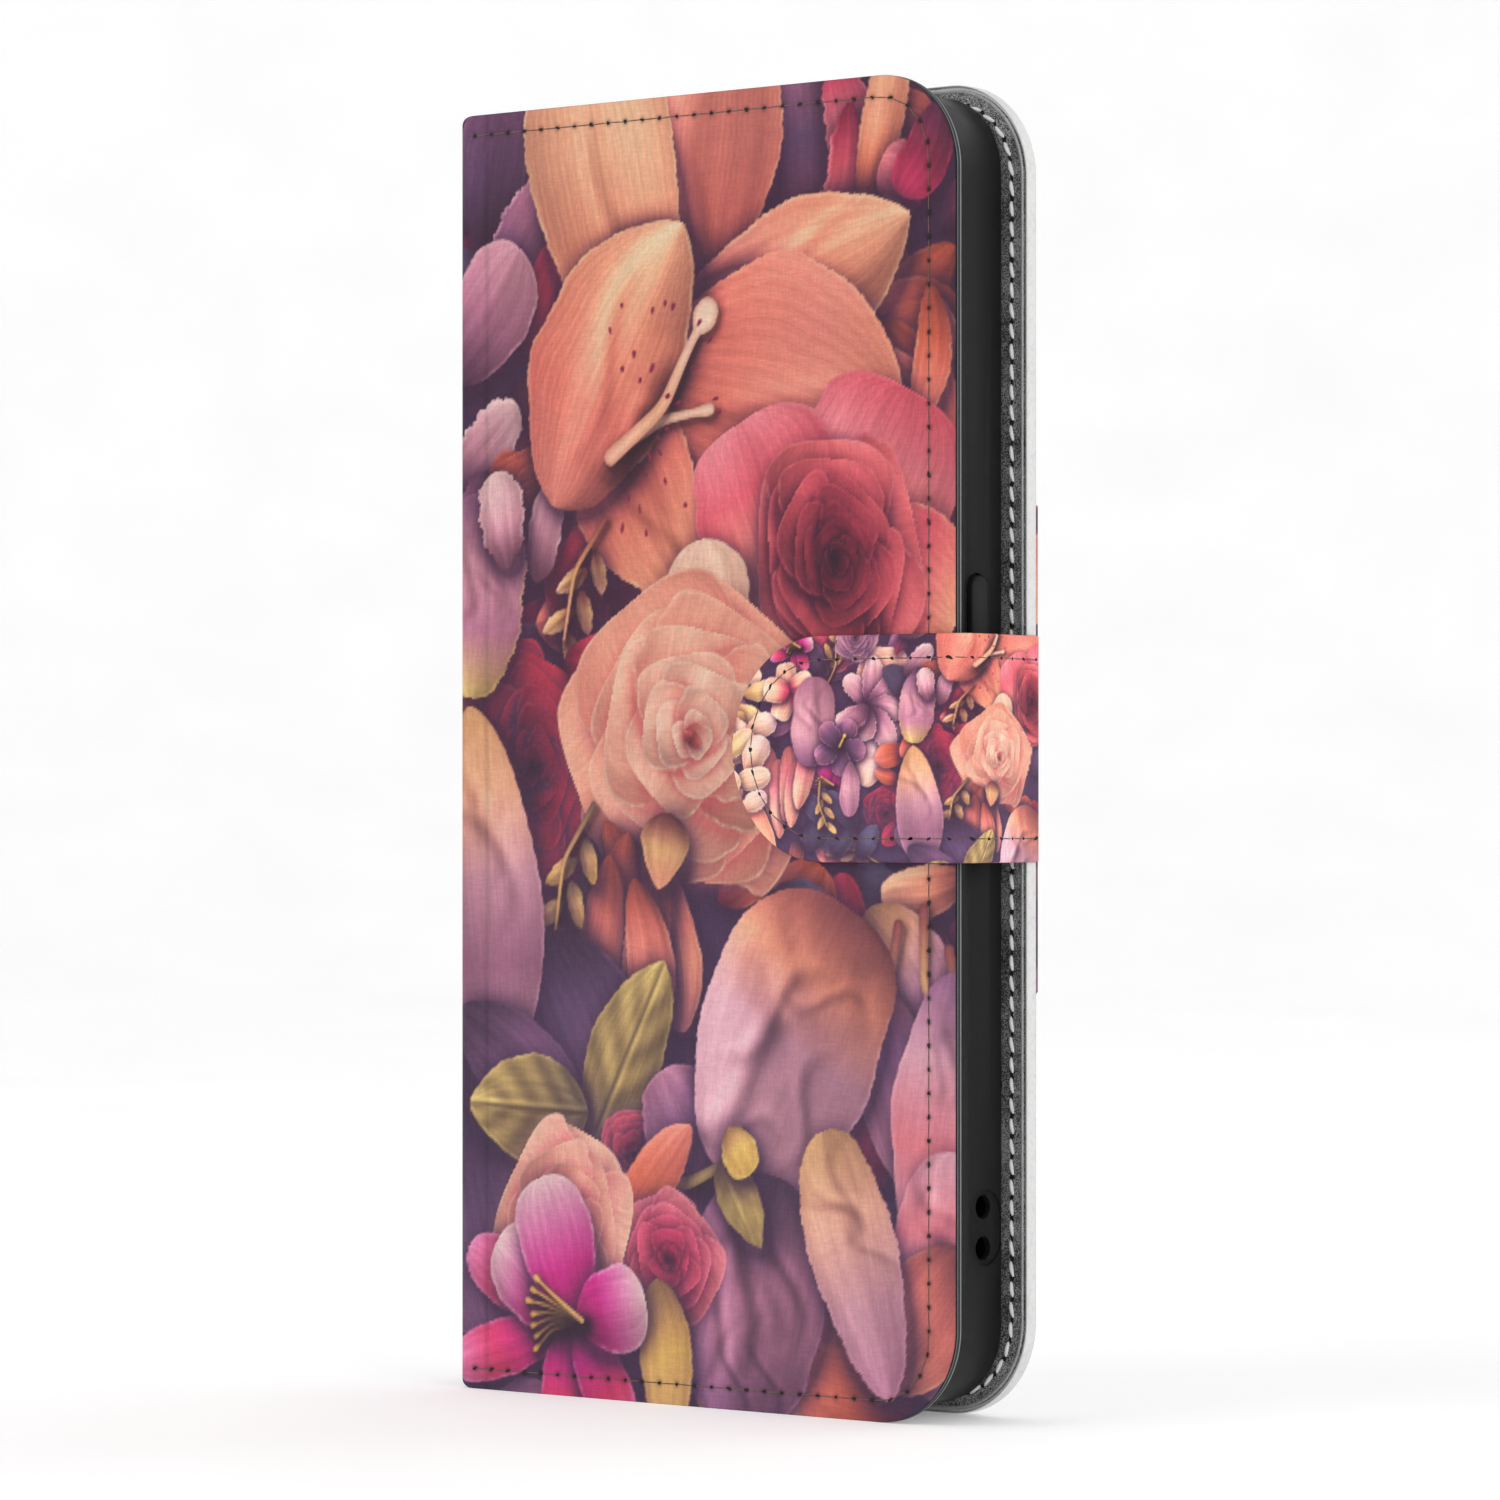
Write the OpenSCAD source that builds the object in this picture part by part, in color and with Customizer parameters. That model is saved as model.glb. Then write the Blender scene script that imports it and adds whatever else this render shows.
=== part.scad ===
// Folding book-style phone case, closed and standing on its lower edge, in millimetres.
// Z is up, the front cover faces -Y, the spine is on the -X side and the case opens on the +X side.
// The case is laid out with x measured from the spine's outer face, y from the front cover's outer
// face and z from the lower edge. in_frame() then moves it to the middle of its own footprint.

/* [Covers] */
// Height of both covers
case_h = 168; // [160:1:176]
// Width of both covers, from the spine's outer face to the opening edge
case_w = 84; // [82:0.5:88]
// Thickness of the closed case, from the front cover's outer face to the back cover's
case_t = 16.6; // [16.4:0.1:18]
// Corner radius of the covers at the opening edge
open_r = 12.2; // [10:0.1:14]
// Corner radius of the covers at the spine
spine_r = 2.2; // [1.5:0.1:3]

/* [Layers] */
// Thickness of the outer leather
skin_t = 0.5; // [0.4:0.05:0.6]
// Thickness of the lining
liner_t = 0.4; // [0.3:0.05:0.5]
// Thickness of the stiff board in the front cover and the spine
front_board_t = 0.6; // [0.5:0.05:0.8]
// Thickness of the stiff board in the back cover
back_board_t = 1.3; // [1:0.05:1.5]
// Thickness of each pocket sheet
pocket_t = 0.4; // [0.3:0.05:0.45]

/* [Phone shell] */
// How far the shell's side stands back from the covers' opening edge
shell_open_inset = 3.6; // [3:0.1:4.5]
// How far the shell's side stands back from the spine's outer face
shell_spine_inset = 2.4; // [2.3:0.1:3]
// How far the shell's ends stand back from the covers' upper and lower edges
shell_end_inset = 1.6; // [1:0.1:3]
// Depth of the shell, front rim to back
shell_d = 10.6; // [10:0.1:11]
// Thickness of the shell's side walls
shell_wall = 1.3; // [1.1:0.1:1.6]
// Thickness of the shell's back
shell_back_t = 1.2; // [1:0.1:1.5]
// Corner radius of the shell
shell_r = 10; // [8:0.5:11]
// How far the shell's front lip reaches over the phone
lip_reach = 0.7; // [0.5:0.1:1]
// Thickness of the shell's front lip
lip_t = 1.2; // [1:0.1:1.4]

/* [Closure strap] */
// Width of the strap
strap_w = 28.4; // [24:0.2:32]
// How far the strap reaches over the front cover
strap_reach = 35; // [30:0.5:40]
// Thickness of the strap
strap_t = 1.3; // [1.2:0.05:1.5]
// Air between the closed strap and the covers
strap_gap = 0.2; // [0.1:0.05:0.3]
// Height of the patch that holds the strap to the back cover
anchor_h = 61.5; // [50:0.5:70]
// How far the patch reaches over the back cover
anchor_reach = 22; // [16:0.5:26]
// Thickness of the patch
anchor_t = 0.5; // [0.4:0.05:0.6]

/* [Keys and openings] */
// Length of the power key
power_len = 17; // [14:0.5:20]
// Height of the power key's middle above the lower edge
power_z = 97.2; // [90:0.5:110]
// Length of the volume key
volume_len = 24; // [18:0.5:28]
// Height of the volume key's middle above the lower edge
volume_z = 118; // [110:0.5:125]
// Width of both keys
key_w = 3.4; // [3:0.1:4]
// How far a key stands out of the shell's wall
key_proud = 0.8; // [0.6:0.05:0.85]
// Air round a key in its slot
key_gap = 0.25; // [0.2:0.05:0.35]
// Width of the camera window
camera_w = 29; // [20:0.5:32]
// Height of the camera window
camera_h = 42; // [30:0.5:42]
// Corner radius of the camera window
camera_r = 8; // [4:0.5:9]
// Radius of each lanyard hole
lanyard_r = 1.5; // [1.2:0.1:1.6]
// Distance between the lanyard holes' centres
lanyard_pitch = 5.2; // [4.5:0.1:6]

/* [Stitching] */
// Distance from one stitch to the next
stitch_pitch = 2.95; // [2.5:0.05:3.5]
// Length of each stitch
stitch_len = 2; // [1.6:0.1:2.2]
// Width of the thread
thread_w = 0.45; // [0.3:0.05:0.6]

/* [Hidden] */
$fn = 64;
past = 1;            // how far a cutting shape runs past the face that it cuts
fit_gap = 0.05;      // air round a board in its turned edge
sharp_r = 0.4;       // smallest corner radius of a layer inside a cover

// Front cover, as depths from its outer face
front_board_y = skin_t;
front_liner_y = front_board_y + front_board_t;
front_t = front_liner_y + liner_t;

// Back cover, as depths from the front cover's outer face
back_skin_y = case_t - skin_t;
back_board_y = back_skin_y - back_board_t;
back_liner_y = back_board_y - liner_t;

// The leather is turned over the edges of the boards, and the lining stops just short of them
turned_w = 0.6;
liner_inset = 0.3;

// Creases on both sides of the spine, where its stiff layers stop
crease = 0.1;
spine_y = front_t + crease;
spine_d = back_liner_y - crease - spine_y;

// Shell, standing on a thin adhesive pad
pad_t = 0.2;
pad_inset = 4;
shell_back_y = back_liner_y - pad_t;
shell_y = shell_back_y - shell_d;
shell_open_x = case_w - shell_open_inset;
shell_x = (shell_spine_inset + shell_open_x) / 2;

// Openings in the shell
camera_side = 5;     // from the cavity's open side to the camera window
camera_top = 8;      // from the covers' upper edge to the camera window
camera_x = shell_open_x - shell_wall - camera_side - camera_w / 2;
camera_z = case_h - camera_top - camera_h / 2;
port_d = 4.2;        // from the cavity's floor to the middle of the ports
port_y = shell_back_y - shell_back_t - port_d;
usb_w = 13;
usb_h = 6;
speaker_w = 16;
speaker_x = 21;
mic_r = 1.1;
lanyard_y = 10.6;
lanyard_z = 24.1;
lanyard_recess = 0.4;
lanyard_recess_w = 6.4;
lanyard_recess_h = 9.6;

// Keys, level with the middle of the phone's edge
key_y = 8.8;

// Pockets inside the front cover, sewn in along the opening edge
pocket_inset = 5;
card_pocket_h = 92;
card_pocket_z = 38;
card_edge_x = 14;
card_step = 8;
thumb_r = 7;
note_edge_x = 7;
pocket_r = 1;

// Strap
strap_z = case_h / 2;
strap_in_x = case_w + strap_gap;
strap_out_x = strap_in_x + strap_t;
strap_in_y = -strap_gap;
strap_out_y = strap_in_y - strap_t;
anchor_y = case_t + anchor_t;
anchor_r = 6;
anchor_fold_r = 1;
side_liner_t = strap_t / 2;
side_y = 0.05;
side_crease = 0.3;
side_d = anchor_y - side_crease - side_y;
tab_layer_t = 0.45;
tab_core_t = strap_t - 2 * tab_layer_t;
tab_core_inset = 4;
magnet_r = 6;
plate_r = 7;
plate_t = 0.4;
tab_tip_x = case_w - strap_reach;
tab_tip_r = strap_w / 2;
tab_crease = 0.4;
closure_x = tab_tip_x + tab_tip_r;

// Stitching
thread_t = 0.15;
front_seam_end = 2.7;
front_seam_open = 4.2;
back_seam = 2;
strap_seam = 3;

// Middle of the whole footprint
middle_x = (strap_out_x + thread_t) / 2;
middle_y = (strap_out_y - thread_t + anchor_y) / 2;

module in_frame() translate([-middle_x, -middle_y, 0]) children();

// Gives an outline drawn in x and z the thickness t, from depth y backwards.
module slab(y, t) translate([0, y + t, 0]) rotate([90, 0, 0]) linear_extrude(t) children();

// A rectangle from (x0, z0) to (x1, z1), with corners of radius a at x0 and b at x1.
module plate(x0, x1, z0, z1, a, b) {
    translate([x0 + a, z0]) square([x1 - b - x0 - a, z1 - z0]);
    translate([x0, z0 + a]) square([a, z1 - z0 - 2 * a]);
    translate([x1 - b, z0 + b]) square([b, z1 - z0 - 2 * b]);
    for (z = [z0 + a, z1 - a]) translate([x0 + a, z]) circle(a);
    for (z = [z0 + b, z1 - b]) translate([x1 - b, z]) circle(b);
}

// The outline of a cover, moved inwards by inset.
module cover(inset = 0) {
    plate(inset, case_w - inset, inset, case_h - inset, max(spine_r - inset, sharp_r), open_r - inset);
}

// A flat slot with round ends, length l along z and width w, with its middle at the origin.
module slot(l, w) {
    translate([-w / 2, -(l - w) / 2]) square([w, l - w]);
    for (s = [-1, 1]) translate([0, s * (l - w) / 2]) circle(w / 2);
}

// Gives an outline drawn in y and z the thickness t along x, from x onwards.
module side_slab(x, t) translate([x, 0, 0]) rotate([90, 0, 90]) linear_extrude(t) children();

module camera_window() {
    plate(camera_x - camera_w / 2, camera_x + camera_w / 2,
        camera_z - camera_h / 2, camera_z + camera_h / 2, camera_r, camera_r);
}

// The outline of the strap's tab, with its round end over the front cover.
module tab_outline(inset = 0) {
    translate([closure_x, strap_z]) circle(tab_tip_r - inset);
    translate([closure_x, strap_z - strap_w / 2 + inset])
        square([strap_out_x - tab_crease - closure_x, strap_w - 2 * inset]);
}

// One stitch at (x, z), turned by a degrees from the x direction.
module stitch(x, z, a) translate([x, z]) rotate(a) square([stitch_len, thread_w], center = true);

// Stitches along a line from (x0, z0) towards the direction a for the length l.
module seam(x0, z0, a, l) {
    n = floor(l / stitch_pitch);
    start = (l - (n - 1) * stitch_pitch) / 2;
    for (i = [0 : n - 1]) {
        s = start + i * stitch_pitch;
        stitch(x0 + s * cos(a), z0 + s * sin(a), a);
    }
}

// Stitches round an arc of radius r about (x, z), from the angle a0 to a1.
module seam_arc(x, z, r, a0, a1) {
    n = max(2, round(r * (a1 - a0) * PI / 180 / stitch_pitch));
    for (i = [0 : n - 1]) {
        a = a0 + (i + 0.5) * (a1 - a0) / n;
        stitch(x + r * cos(a), z + r * sin(a), a + 90);
    }
}

// A seam round a cover's free edges, inset by ends above and below and by open at the opening edge.
module cover_seam(ends, open) {
    r = open_r - max(ends, open);
    x1 = case_w - open;
    for (z = [ends, case_h - ends]) seam(0, z, 0, x1 - r);
    seam(x1, ends + r, 90, case_h - 2 * (ends + r));
    seam_arc(x1 - r, case_h - ends - r, r, 0, 90);
    seam_arc(x1 - r, ends + r, r, 270, 360);
}

// Outer leather of a cover: a sheet at depth y with its turned edge, rim_d deep, towards the board.
module cover_skin(y, rim_y, rim_d) {
    slab(y, skin_t) cover();
    slab(rim_y, rim_d) difference() {
        cover();
        cover(turned_w);
    }
}

module back_skin() color("white") in_frame() difference() {
    cover_skin(back_skin_y, back_board_y, back_board_t);
    slab(back_skin_y - past, skin_t + 2 * past) camera_window();
}

module back_board() color("burlywood") in_frame() slab(back_board_y, back_board_t) difference() {
    cover(turned_w + fit_gap);
    camera_window();
}

module back_liner() color("gray") in_frame() slab(back_liner_y, liner_t) difference() {
    cover(liner_inset);
    camera_window();
}

module back_stitching() color("whitesmoke") in_frame() {
    slab(back_liner_y - thread_t, thread_t) cover_seam(back_seam, back_seam);
}

module spine_layer(x, t) side_slab(x, t) translate([spine_y, 0]) square([spine_d, case_h]);

module spine_skin() color("rosybrown") in_frame() spine_layer(0, skin_t);

module spine_board() color("burlywood") in_frame() spine_layer(skin_t, front_board_t);

module spine_liner() color("dimgray") in_frame() spine_layer(skin_t + front_board_t, liner_t);

module front_skin() color("salmon") in_frame() cover_skin(0, front_board_y, front_board_t);

module front_board() color("burlywood") in_frame() difference() {
    slab(front_board_y, front_board_t) cover(turned_w + fit_gap);
    slab(front_board_y - past, plate_t + past) translate([closure_x, strap_z]) circle(plate_r + fit_gap);
}

module closure_plate() color("silver") in_frame() {
    slab(front_board_y, plate_t) translate([closure_x, strap_z]) circle(plate_r);
}

module front_liner() color("dimgray") in_frame() slab(front_liner_y, liner_t) cover(liner_inset);

module front_stitching() color("saddlebrown") in_frame() {
    slab(-thread_t, thread_t) cover_seam(front_seam_end, front_seam_open);
}

// A pocket sheet on the front cover's lining: layer 0 lies on the lining, layer 1 on layer 0.
module pocket(layer, x0, z0, z1, thumb) color(layer % 2 == 0 ? "gray" : "darkgray") in_frame() {
    slab(front_t + layer * pocket_t, pocket_t) difference() {
        plate(x0, case_w - pocket_inset, z0, z1, pocket_r, open_r - pocket_inset);
        if (thumb) translate([x0, (z0 + z1) / 2]) circle(thumb_r);
    }
}

module note_pocket() pocket(0, note_edge_x, pocket_inset, case_h - pocket_inset, false);

module card_pocket(n) {
    pocket(n, card_edge_x + (n - 1) * card_step, card_pocket_z, card_pocket_z + card_pocket_h, true);
}

// The shell's outline, moved inwards by inset.
module shell_outline(inset = 0) {
    plate(shell_spine_inset + inset, shell_open_x - inset,
        shell_end_inset + inset, case_h - shell_end_inset - inset,
        shell_r - inset, shell_r - inset);
}

// A slot through a side wall at height z, with its inner end inside the cavity.
module key_slot(x, z, l) {
    side_slab(x - past - shell_wall, 2 * (past + shell_wall))
        translate([key_y, z]) slot(l + 2 * key_gap, key_w + 2 * key_gap);
}

// A slot through the shell's lower end, w wide and h deep.
module port(x, w, h) {
    translate([x, port_y, shell_end_inset - past]) rotate([0, 0, 90])
        linear_extrude(shell_wall + 2 * past) slot(w, h);
}

// The lanyard holes and the shallow recess that they share.
module lanyard_cut() {
    side_slab(shell_open_x - lanyard_recess, past)
        translate([lanyard_y, lanyard_z]) slot(lanyard_recess_h, lanyard_recess_w);
    for (s = [-1, 1]) side_slab(shell_open_x - shell_wall - past, shell_wall + 2 * past)
        translate([lanyard_y, lanyard_z + s * lanyard_pitch / 2]) circle(lanyard_r);
}

module shell() color("#282828") in_frame() difference() {
    slab(shell_y, shell_d) shell_outline();
    slab(shell_y + lip_t, shell_d - lip_t - shell_back_t) shell_outline(shell_wall);
    slab(shell_y - past, lip_t + 2 * past) shell_outline(shell_wall + lip_reach);
    slab(shell_back_y - shell_back_t - past, shell_back_t + 2 * past) camera_window();
    key_slot(shell_open_x, power_z, power_len);
    key_slot(shell_spine_inset, volume_z, volume_len);
    port(shell_x, usb_w, usb_h);
    port(shell_x + speaker_x, speaker_w, 2 * mic_r);
    port(shell_x - speaker_x, usb_h, 2 * mic_r);
    translate([shell_x, port_y, case_h - shell_end_inset - shell_wall - past])
        cylinder(r = mic_r, h = shell_wall + 2 * past);
    lanyard_cut();
}

module shell_pad() color("lightgray") in_frame() slab(shell_back_y, pad_t) difference() {
    shell_outline(pad_inset);
    camera_window();
}

// A key: the part that fills its slot in the wall and stands out of it by key_proud.
module key(x, z, l) color("#303030") in_frame() {
    side_slab(x, shell_wall + key_proud) translate([key_y, z]) slot(l, key_w);
}

module power_button() key(shell_open_x - shell_wall, power_z, power_len);

module volume_button() key(shell_spine_inset - key_proud, volume_z, volume_len);

module strap_anchor() color("palevioletred") in_frame() {
    slab(case_t, anchor_t) plate(case_w - anchor_reach, case_w,
        strap_z - anchor_h / 2, strap_z + anchor_h / 2, anchor_r, anchor_fold_r);
}

module strap_side_layer(x) {
    side_slab(x, side_liner_t) translate([side_y, strap_z - strap_w / 2]) square([side_d, strap_w]);
}

module strap_side_liner() color("dimgray") in_frame() strap_side_layer(strap_in_x);

module strap_side_skin() color("palevioletred") in_frame() strap_side_layer(strap_in_x + side_liner_t);

module strap_side_stitching() color("saddlebrown") in_frame() side_slab(strap_out_x, thread_t) {
    for (s = [-1, 1]) seam(side_y, strap_z + s * (strap_w / 2 - strap_seam), 0, side_d);
}

module strap_tab_skin() color("palevioletred") in_frame() slab(strap_out_y, tab_layer_t) tab_outline();

module strap_tab_core() color("burlywood") in_frame() {
    slab(strap_out_y + tab_layer_t, tab_core_t) difference() {
        tab_outline(tab_core_inset);
        translate([closure_x, strap_z]) circle(magnet_r + fit_gap);
        translate([strap_in_x - tab_core_inset, strap_z - strap_w / 2]) square(strap_w);
    }
}

module strap_tab_magnet() color("silver") in_frame() {
    slab(strap_out_y + tab_layer_t, tab_core_t) translate([closure_x, strap_z]) circle(magnet_r);
}

module strap_tab_liner() color("dimgray") in_frame() {
    slab(strap_in_y - tab_layer_t, tab_layer_t) tab_outline();
}

module strap_tab_stitching() color("saddlebrown") in_frame() slab(strap_out_y - thread_t, thread_t) {
    for (s = [-1, 1]) {
        seam(closure_x, strap_z + s * (strap_w / 2 - strap_seam), 0, case_w - closure_x);
    }
    seam_arc(closure_x, strap_z, tab_tip_r - strap_seam, 90, 270);
}

back_skin();
back_board();
back_liner();
back_stitching();
shell();
shell_pad();
strap_anchor();
spine_skin();
spine_board();
spine_liner();
front_skin();
front_board();
closure_plate();
front_liner();
front_stitching();
note_pocket();
card_pocket(1);  // card_pocket_1
card_pocket(2);  // card_pocket_2
card_pocket(3);  // card_pocket_3
strap_side_skin();
strap_side_liner();
strap_side_stitching();
strap_tab_skin();
strap_tab_core();
strap_tab_magnet();
strap_tab_liner();
strap_tab_stitching();
power_button();
volume_button();
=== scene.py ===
"""The looks of the folding phone case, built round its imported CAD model.

Lengths are millimetres in the case's own layout: x from the spine's outer face, y from the front cover's
outer face and z from the lower edge. place() turns them into metres in the shared frame.
"""

import math
import random

import bmesh
import bpy
import numpy as np
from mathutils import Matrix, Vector
from mathutils.geometry import tessellate_polygon


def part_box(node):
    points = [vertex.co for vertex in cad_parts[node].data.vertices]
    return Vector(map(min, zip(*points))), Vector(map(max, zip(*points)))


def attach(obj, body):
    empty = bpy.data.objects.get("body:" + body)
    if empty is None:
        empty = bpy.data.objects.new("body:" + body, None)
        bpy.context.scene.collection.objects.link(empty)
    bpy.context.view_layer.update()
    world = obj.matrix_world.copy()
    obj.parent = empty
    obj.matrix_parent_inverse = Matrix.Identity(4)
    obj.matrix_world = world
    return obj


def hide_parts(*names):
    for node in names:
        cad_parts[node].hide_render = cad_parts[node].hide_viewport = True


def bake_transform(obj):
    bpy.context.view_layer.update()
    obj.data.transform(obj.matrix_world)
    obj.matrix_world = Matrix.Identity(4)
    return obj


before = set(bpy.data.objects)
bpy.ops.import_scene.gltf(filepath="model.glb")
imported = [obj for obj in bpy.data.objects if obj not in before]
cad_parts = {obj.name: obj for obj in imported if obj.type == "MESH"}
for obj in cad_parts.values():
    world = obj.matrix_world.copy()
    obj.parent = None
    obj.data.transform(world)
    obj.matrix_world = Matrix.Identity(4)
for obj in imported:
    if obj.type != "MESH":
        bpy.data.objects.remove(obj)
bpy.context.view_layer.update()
CORNER = np.array(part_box("front_skin")[0])
GRID = .25      # spacing of the points that carry the print

# Sizes of the case
CASE_W, CASE_H, CASE_T = 84., 168., 16.6
OPEN_R, SPINE_R = 12.2, 2.2
FRONT_T = 1.5             # front cover with its lining
LINING_Y = 14.4           # front of the back cover's lining
FOLD = 2.4                # how far a fold beside the spine reaches onto each side
SHELL_X, SHELL_Y, SHELL_Z, SHELL_R = (2.4, 80.4), (3.6, 14.2), (1.6, 166.4), 10.
STRAP_Z, STRAP_HALF = 84., 14.2
TAB_OUT, ANCHOR_Y = -1.5, 17.1          # outer faces of the strap's tab and of its patch
SPINE_FACE = 1.5          # inner face of the spine's lining, seen from the spine's outer face
KEY_Y, KEY_W = 8.8, 3.4   # middle of the keys and ports between front and back, and the keys' width
PORT_X, POWER_Z, VOLUME_Z = 41.4, 97.2, 118.
LANYARD_Y, LANYARD_Z = 10.6, 24.1
WINDOW = (45.1, 74.1, 118., 160., 8.)   # camera window: two x, two z and its corners' radius
MIDDLE = CASE_H / 2
FRONTWARDS, BACKWARDS = (0, -1., 0), (0, 1., 0)
TAU = 2 * math.pi


def place(p):
    """Turns points of the layout, in mm, into metres in the shared frame."""
    return np.asarray(p, float) / 1000 + CORNER


# ---------------------------------------------------------------- the print

LIGHT = (-.5, -.86)       # where the painted light comes from, x to the right and y down


def smooth(lo, hi, v):
    """A soft step from 0 at lo to 1 at hi."""
    t = np.clip((v - lo) / (hi - lo), 0, 1)
    return t * t * (3 - 2 * t)


def ripple(t, seed, octaves=4):
    """Smooth noise along t, about -1 to 1, with features about 1 long."""
    rng = random.Random(seed)
    total = 0
    for k in range(octaves):
        total = total + np.sin(t * rng.uniform(1.5, 6.5) * (k + 1) * .7 + rng.uniform(0, TAU)) / (1 + k * .6)
    return total / octaves ** .5 / .9


def swirl(x, y, seed):
    """Smooth noise over x and y, about -1 to 1, with features about 1 across."""
    rng = random.Random(seed)
    total = 0
    for _ in range(5):
        a, f = rng.uniform(0, TAU), rng.uniform(1.5, 5)
        total = total + np.sin((x * math.cos(a) + y * math.sin(a)) * f + rng.uniform(0, TAU))
    return total / 2.6


def ramp(t, colours):
    """The colour at t, from 0 to 1, along evenly spaced colours."""
    stops = np.linspace(0, 1, len(colours))
    return np.stack([np.interp(t, stops, [c[i] for c in colours]) for i in range(3)], -1)


def mixed(a, b, t):
    """The colour a share t of the way from a to b."""
    return tuple(x + (y - x) * t for x, y in zip(a, b))


class Canvas:
    """Points of the print and their colours. Places are in mm, x to the right from the spine and y down from
    the upper edge. soft is the half width of a petal's edge."""

    def __init__(self, p, rgb, grain, soft=.13):
        self.p, self.rgb, self.grain, self.soft = p, rgb, grain, soft
        self.order = np.argsort(p[:, 1])
        self.rows = p[self.order, 1]

    def near(self, x, y, reach):
        """The points within reach of (x, y), and where they lie from there."""
        first, last = np.searchsorted(self.rows, (y - reach, y + reach))
        pick = self.order[first:last]
        pick = pick[np.abs(self.p[pick, 0] - x) < reach]
        return pick, self.p[pick] - (x, y)

    def outline(self, d, c, s, length, width, base, tip, bend, fray, seed):
        """A petal's shape at points d: u along it, v across it, its half width and the gap to its edge."""
        u = (d[:, 0] * c + d[:, 1] * s) / length + .5
        v = d[:, 1] * c - d[:, 0] * s - bend * length * (u * u - u)
        t = np.clip(u, .004, .996)
        peak = base / (base + tip)
        half = width / 2 * t ** base * (1 - t) ** tip / (peak ** base * (1 - peak) ** tip)
        half = half * (1 + .07 * ripple(t * 1.6 + np.sign(v) * 7, seed))
        half = half + fray * ripple(t * length / 1.3 + np.sign(v) * 3, seed + 1)
        slope = half * (base / t - tip / (1 - t)) / length
        gap = (np.abs(v) - half) / np.sqrt(1 + np.minimum(slope ** 2, 60))
        over = np.maximum(np.maximum(-u, u - 1), 0) * length
        return u, v, half, np.where(over > 0, np.hypot(v, over), gap)

    def cast_shadow(self, pick, d, c, s, length, width, bend, reach, strength, colour):
        """Darkens what lies just under a petal's edge, away from the light."""
        d = d - np.array([.55, .9]) * reach / 4
        u, v = (d[:, 0] * c + d[:, 1] * s), d[:, 1] * c - d[:, 0] * s
        v = v - bend * length * ((u / length + .5) ** 2 - (u / length + .5))
        a, b = length / 2, width / 2
        k1, k2 = np.hypot(u / a, v / b), np.hypot(u / a ** 2, v / b ** 2)
        away = np.maximum(k1 * (k1 - 1) / (k2 + 1e-6), 0)
        cover = strength * np.clip(1 - away / reach, 0, 1)[:, None] ** 2.2
        return self.rgb[pick] + (np.array(colour) - self.rgb[pick]) * cover

    def petal(self, x, y, turn, length, width, colours, seed, base=.6, tip=.42, bend=0., dark=.4, light=.2,
              rim=.35, fold=.1, fray=.1, shadow=.7, rib=0., vein=.06, cast=1., under=(.1, .07, .16)):
        """A petal or leaf from its base at (x, y) towards turn. colours run from its base to its tip.

        base and tip say how blunt its ends are, dark how dark its base is, light how rounded it looks, rim
        how pale its edge is, fold, vein and rib how marked its folds, veins and midrib are, fray how ragged
        it is and cast how far its shadow reaches."""
        turn = math.radians(turn)
        c, s = math.cos(turn), math.sin(turn)
        pick, d = self.near(x + c * length / 2, y + s * length / 2, length / 2 + width / 2 + 5.5)
        if not len(pick):
            return
        shape = c, s, length, width, base, tip, bend, fray, seed
        u, v, half, gap = self.outline(d, *shape)
        back = self.cast_shadow(pick, d, c, s, length, width, bend, 4 * cast, shadow, under)
        q = np.clip(v / np.maximum(half, .2), -1.2, 1.2)
        facing = -LIGHT[0] * s + LIGHT[1] * c
        tone = (1 + light * (.6 * q + .4 * np.tanh(q * 4)) * facing - .12 * q * q
                + .1 * (u - .5) * (LIGHT[0] * c + LIGHT[1] * s))
        tone = tone * (1 - dark * (1 - smooth(-.05, .5, u)))
        tone = tone * (1 + fold * swirl(u * 1.4, q * .7, seed + 2) + fold * ripple(q * .9 + u * .4, seed + 5))
        tone = tone * (1 + vein * ripple(q * width / 2.2 * (1 + .25 * u) + .3 * np.sin(u * 5), seed + 3))
        if rib:
            side = np.sin(u * 26 - np.abs(q) * 7)
            groove, ridge = np.exp(-(v / .35) ** 2), np.exp(-((v - .5) / .4) ** 2)
            beside = 1 - np.exp(-(v / .5) ** 2)
            tone = tone * (1 + rib * .5 * side * beside - rib * groove + rib * 1.2 * ridge)
        rgb = ramp(np.clip(u, 0, 1), colours) * tone[:, None]
        glow = rim * np.exp(-((gap + .15) / .3) ** 2) * (.65 + .35 * ripple(u * 9, seed + 4))
        glow = glow * smooth(.1, .4, u)
        pale = np.minimum(np.array(colours[-1]) * 1.22 + .09, .97)
        rgb = rgb + (pale - rgb) * np.clip(glow, 0, 1)[:, None]
        alpha = smooth(self.soft, -self.soft, gap)[:, None]
        self.rgb[pick] = back + (rgb - back) * alpha
        on = alpha[:, 0] > .5
        self.grain[pick[on]] = np.stack([u * length, v, np.full(len(u), seed % 97 / 9.7)], -1)[on]

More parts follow.
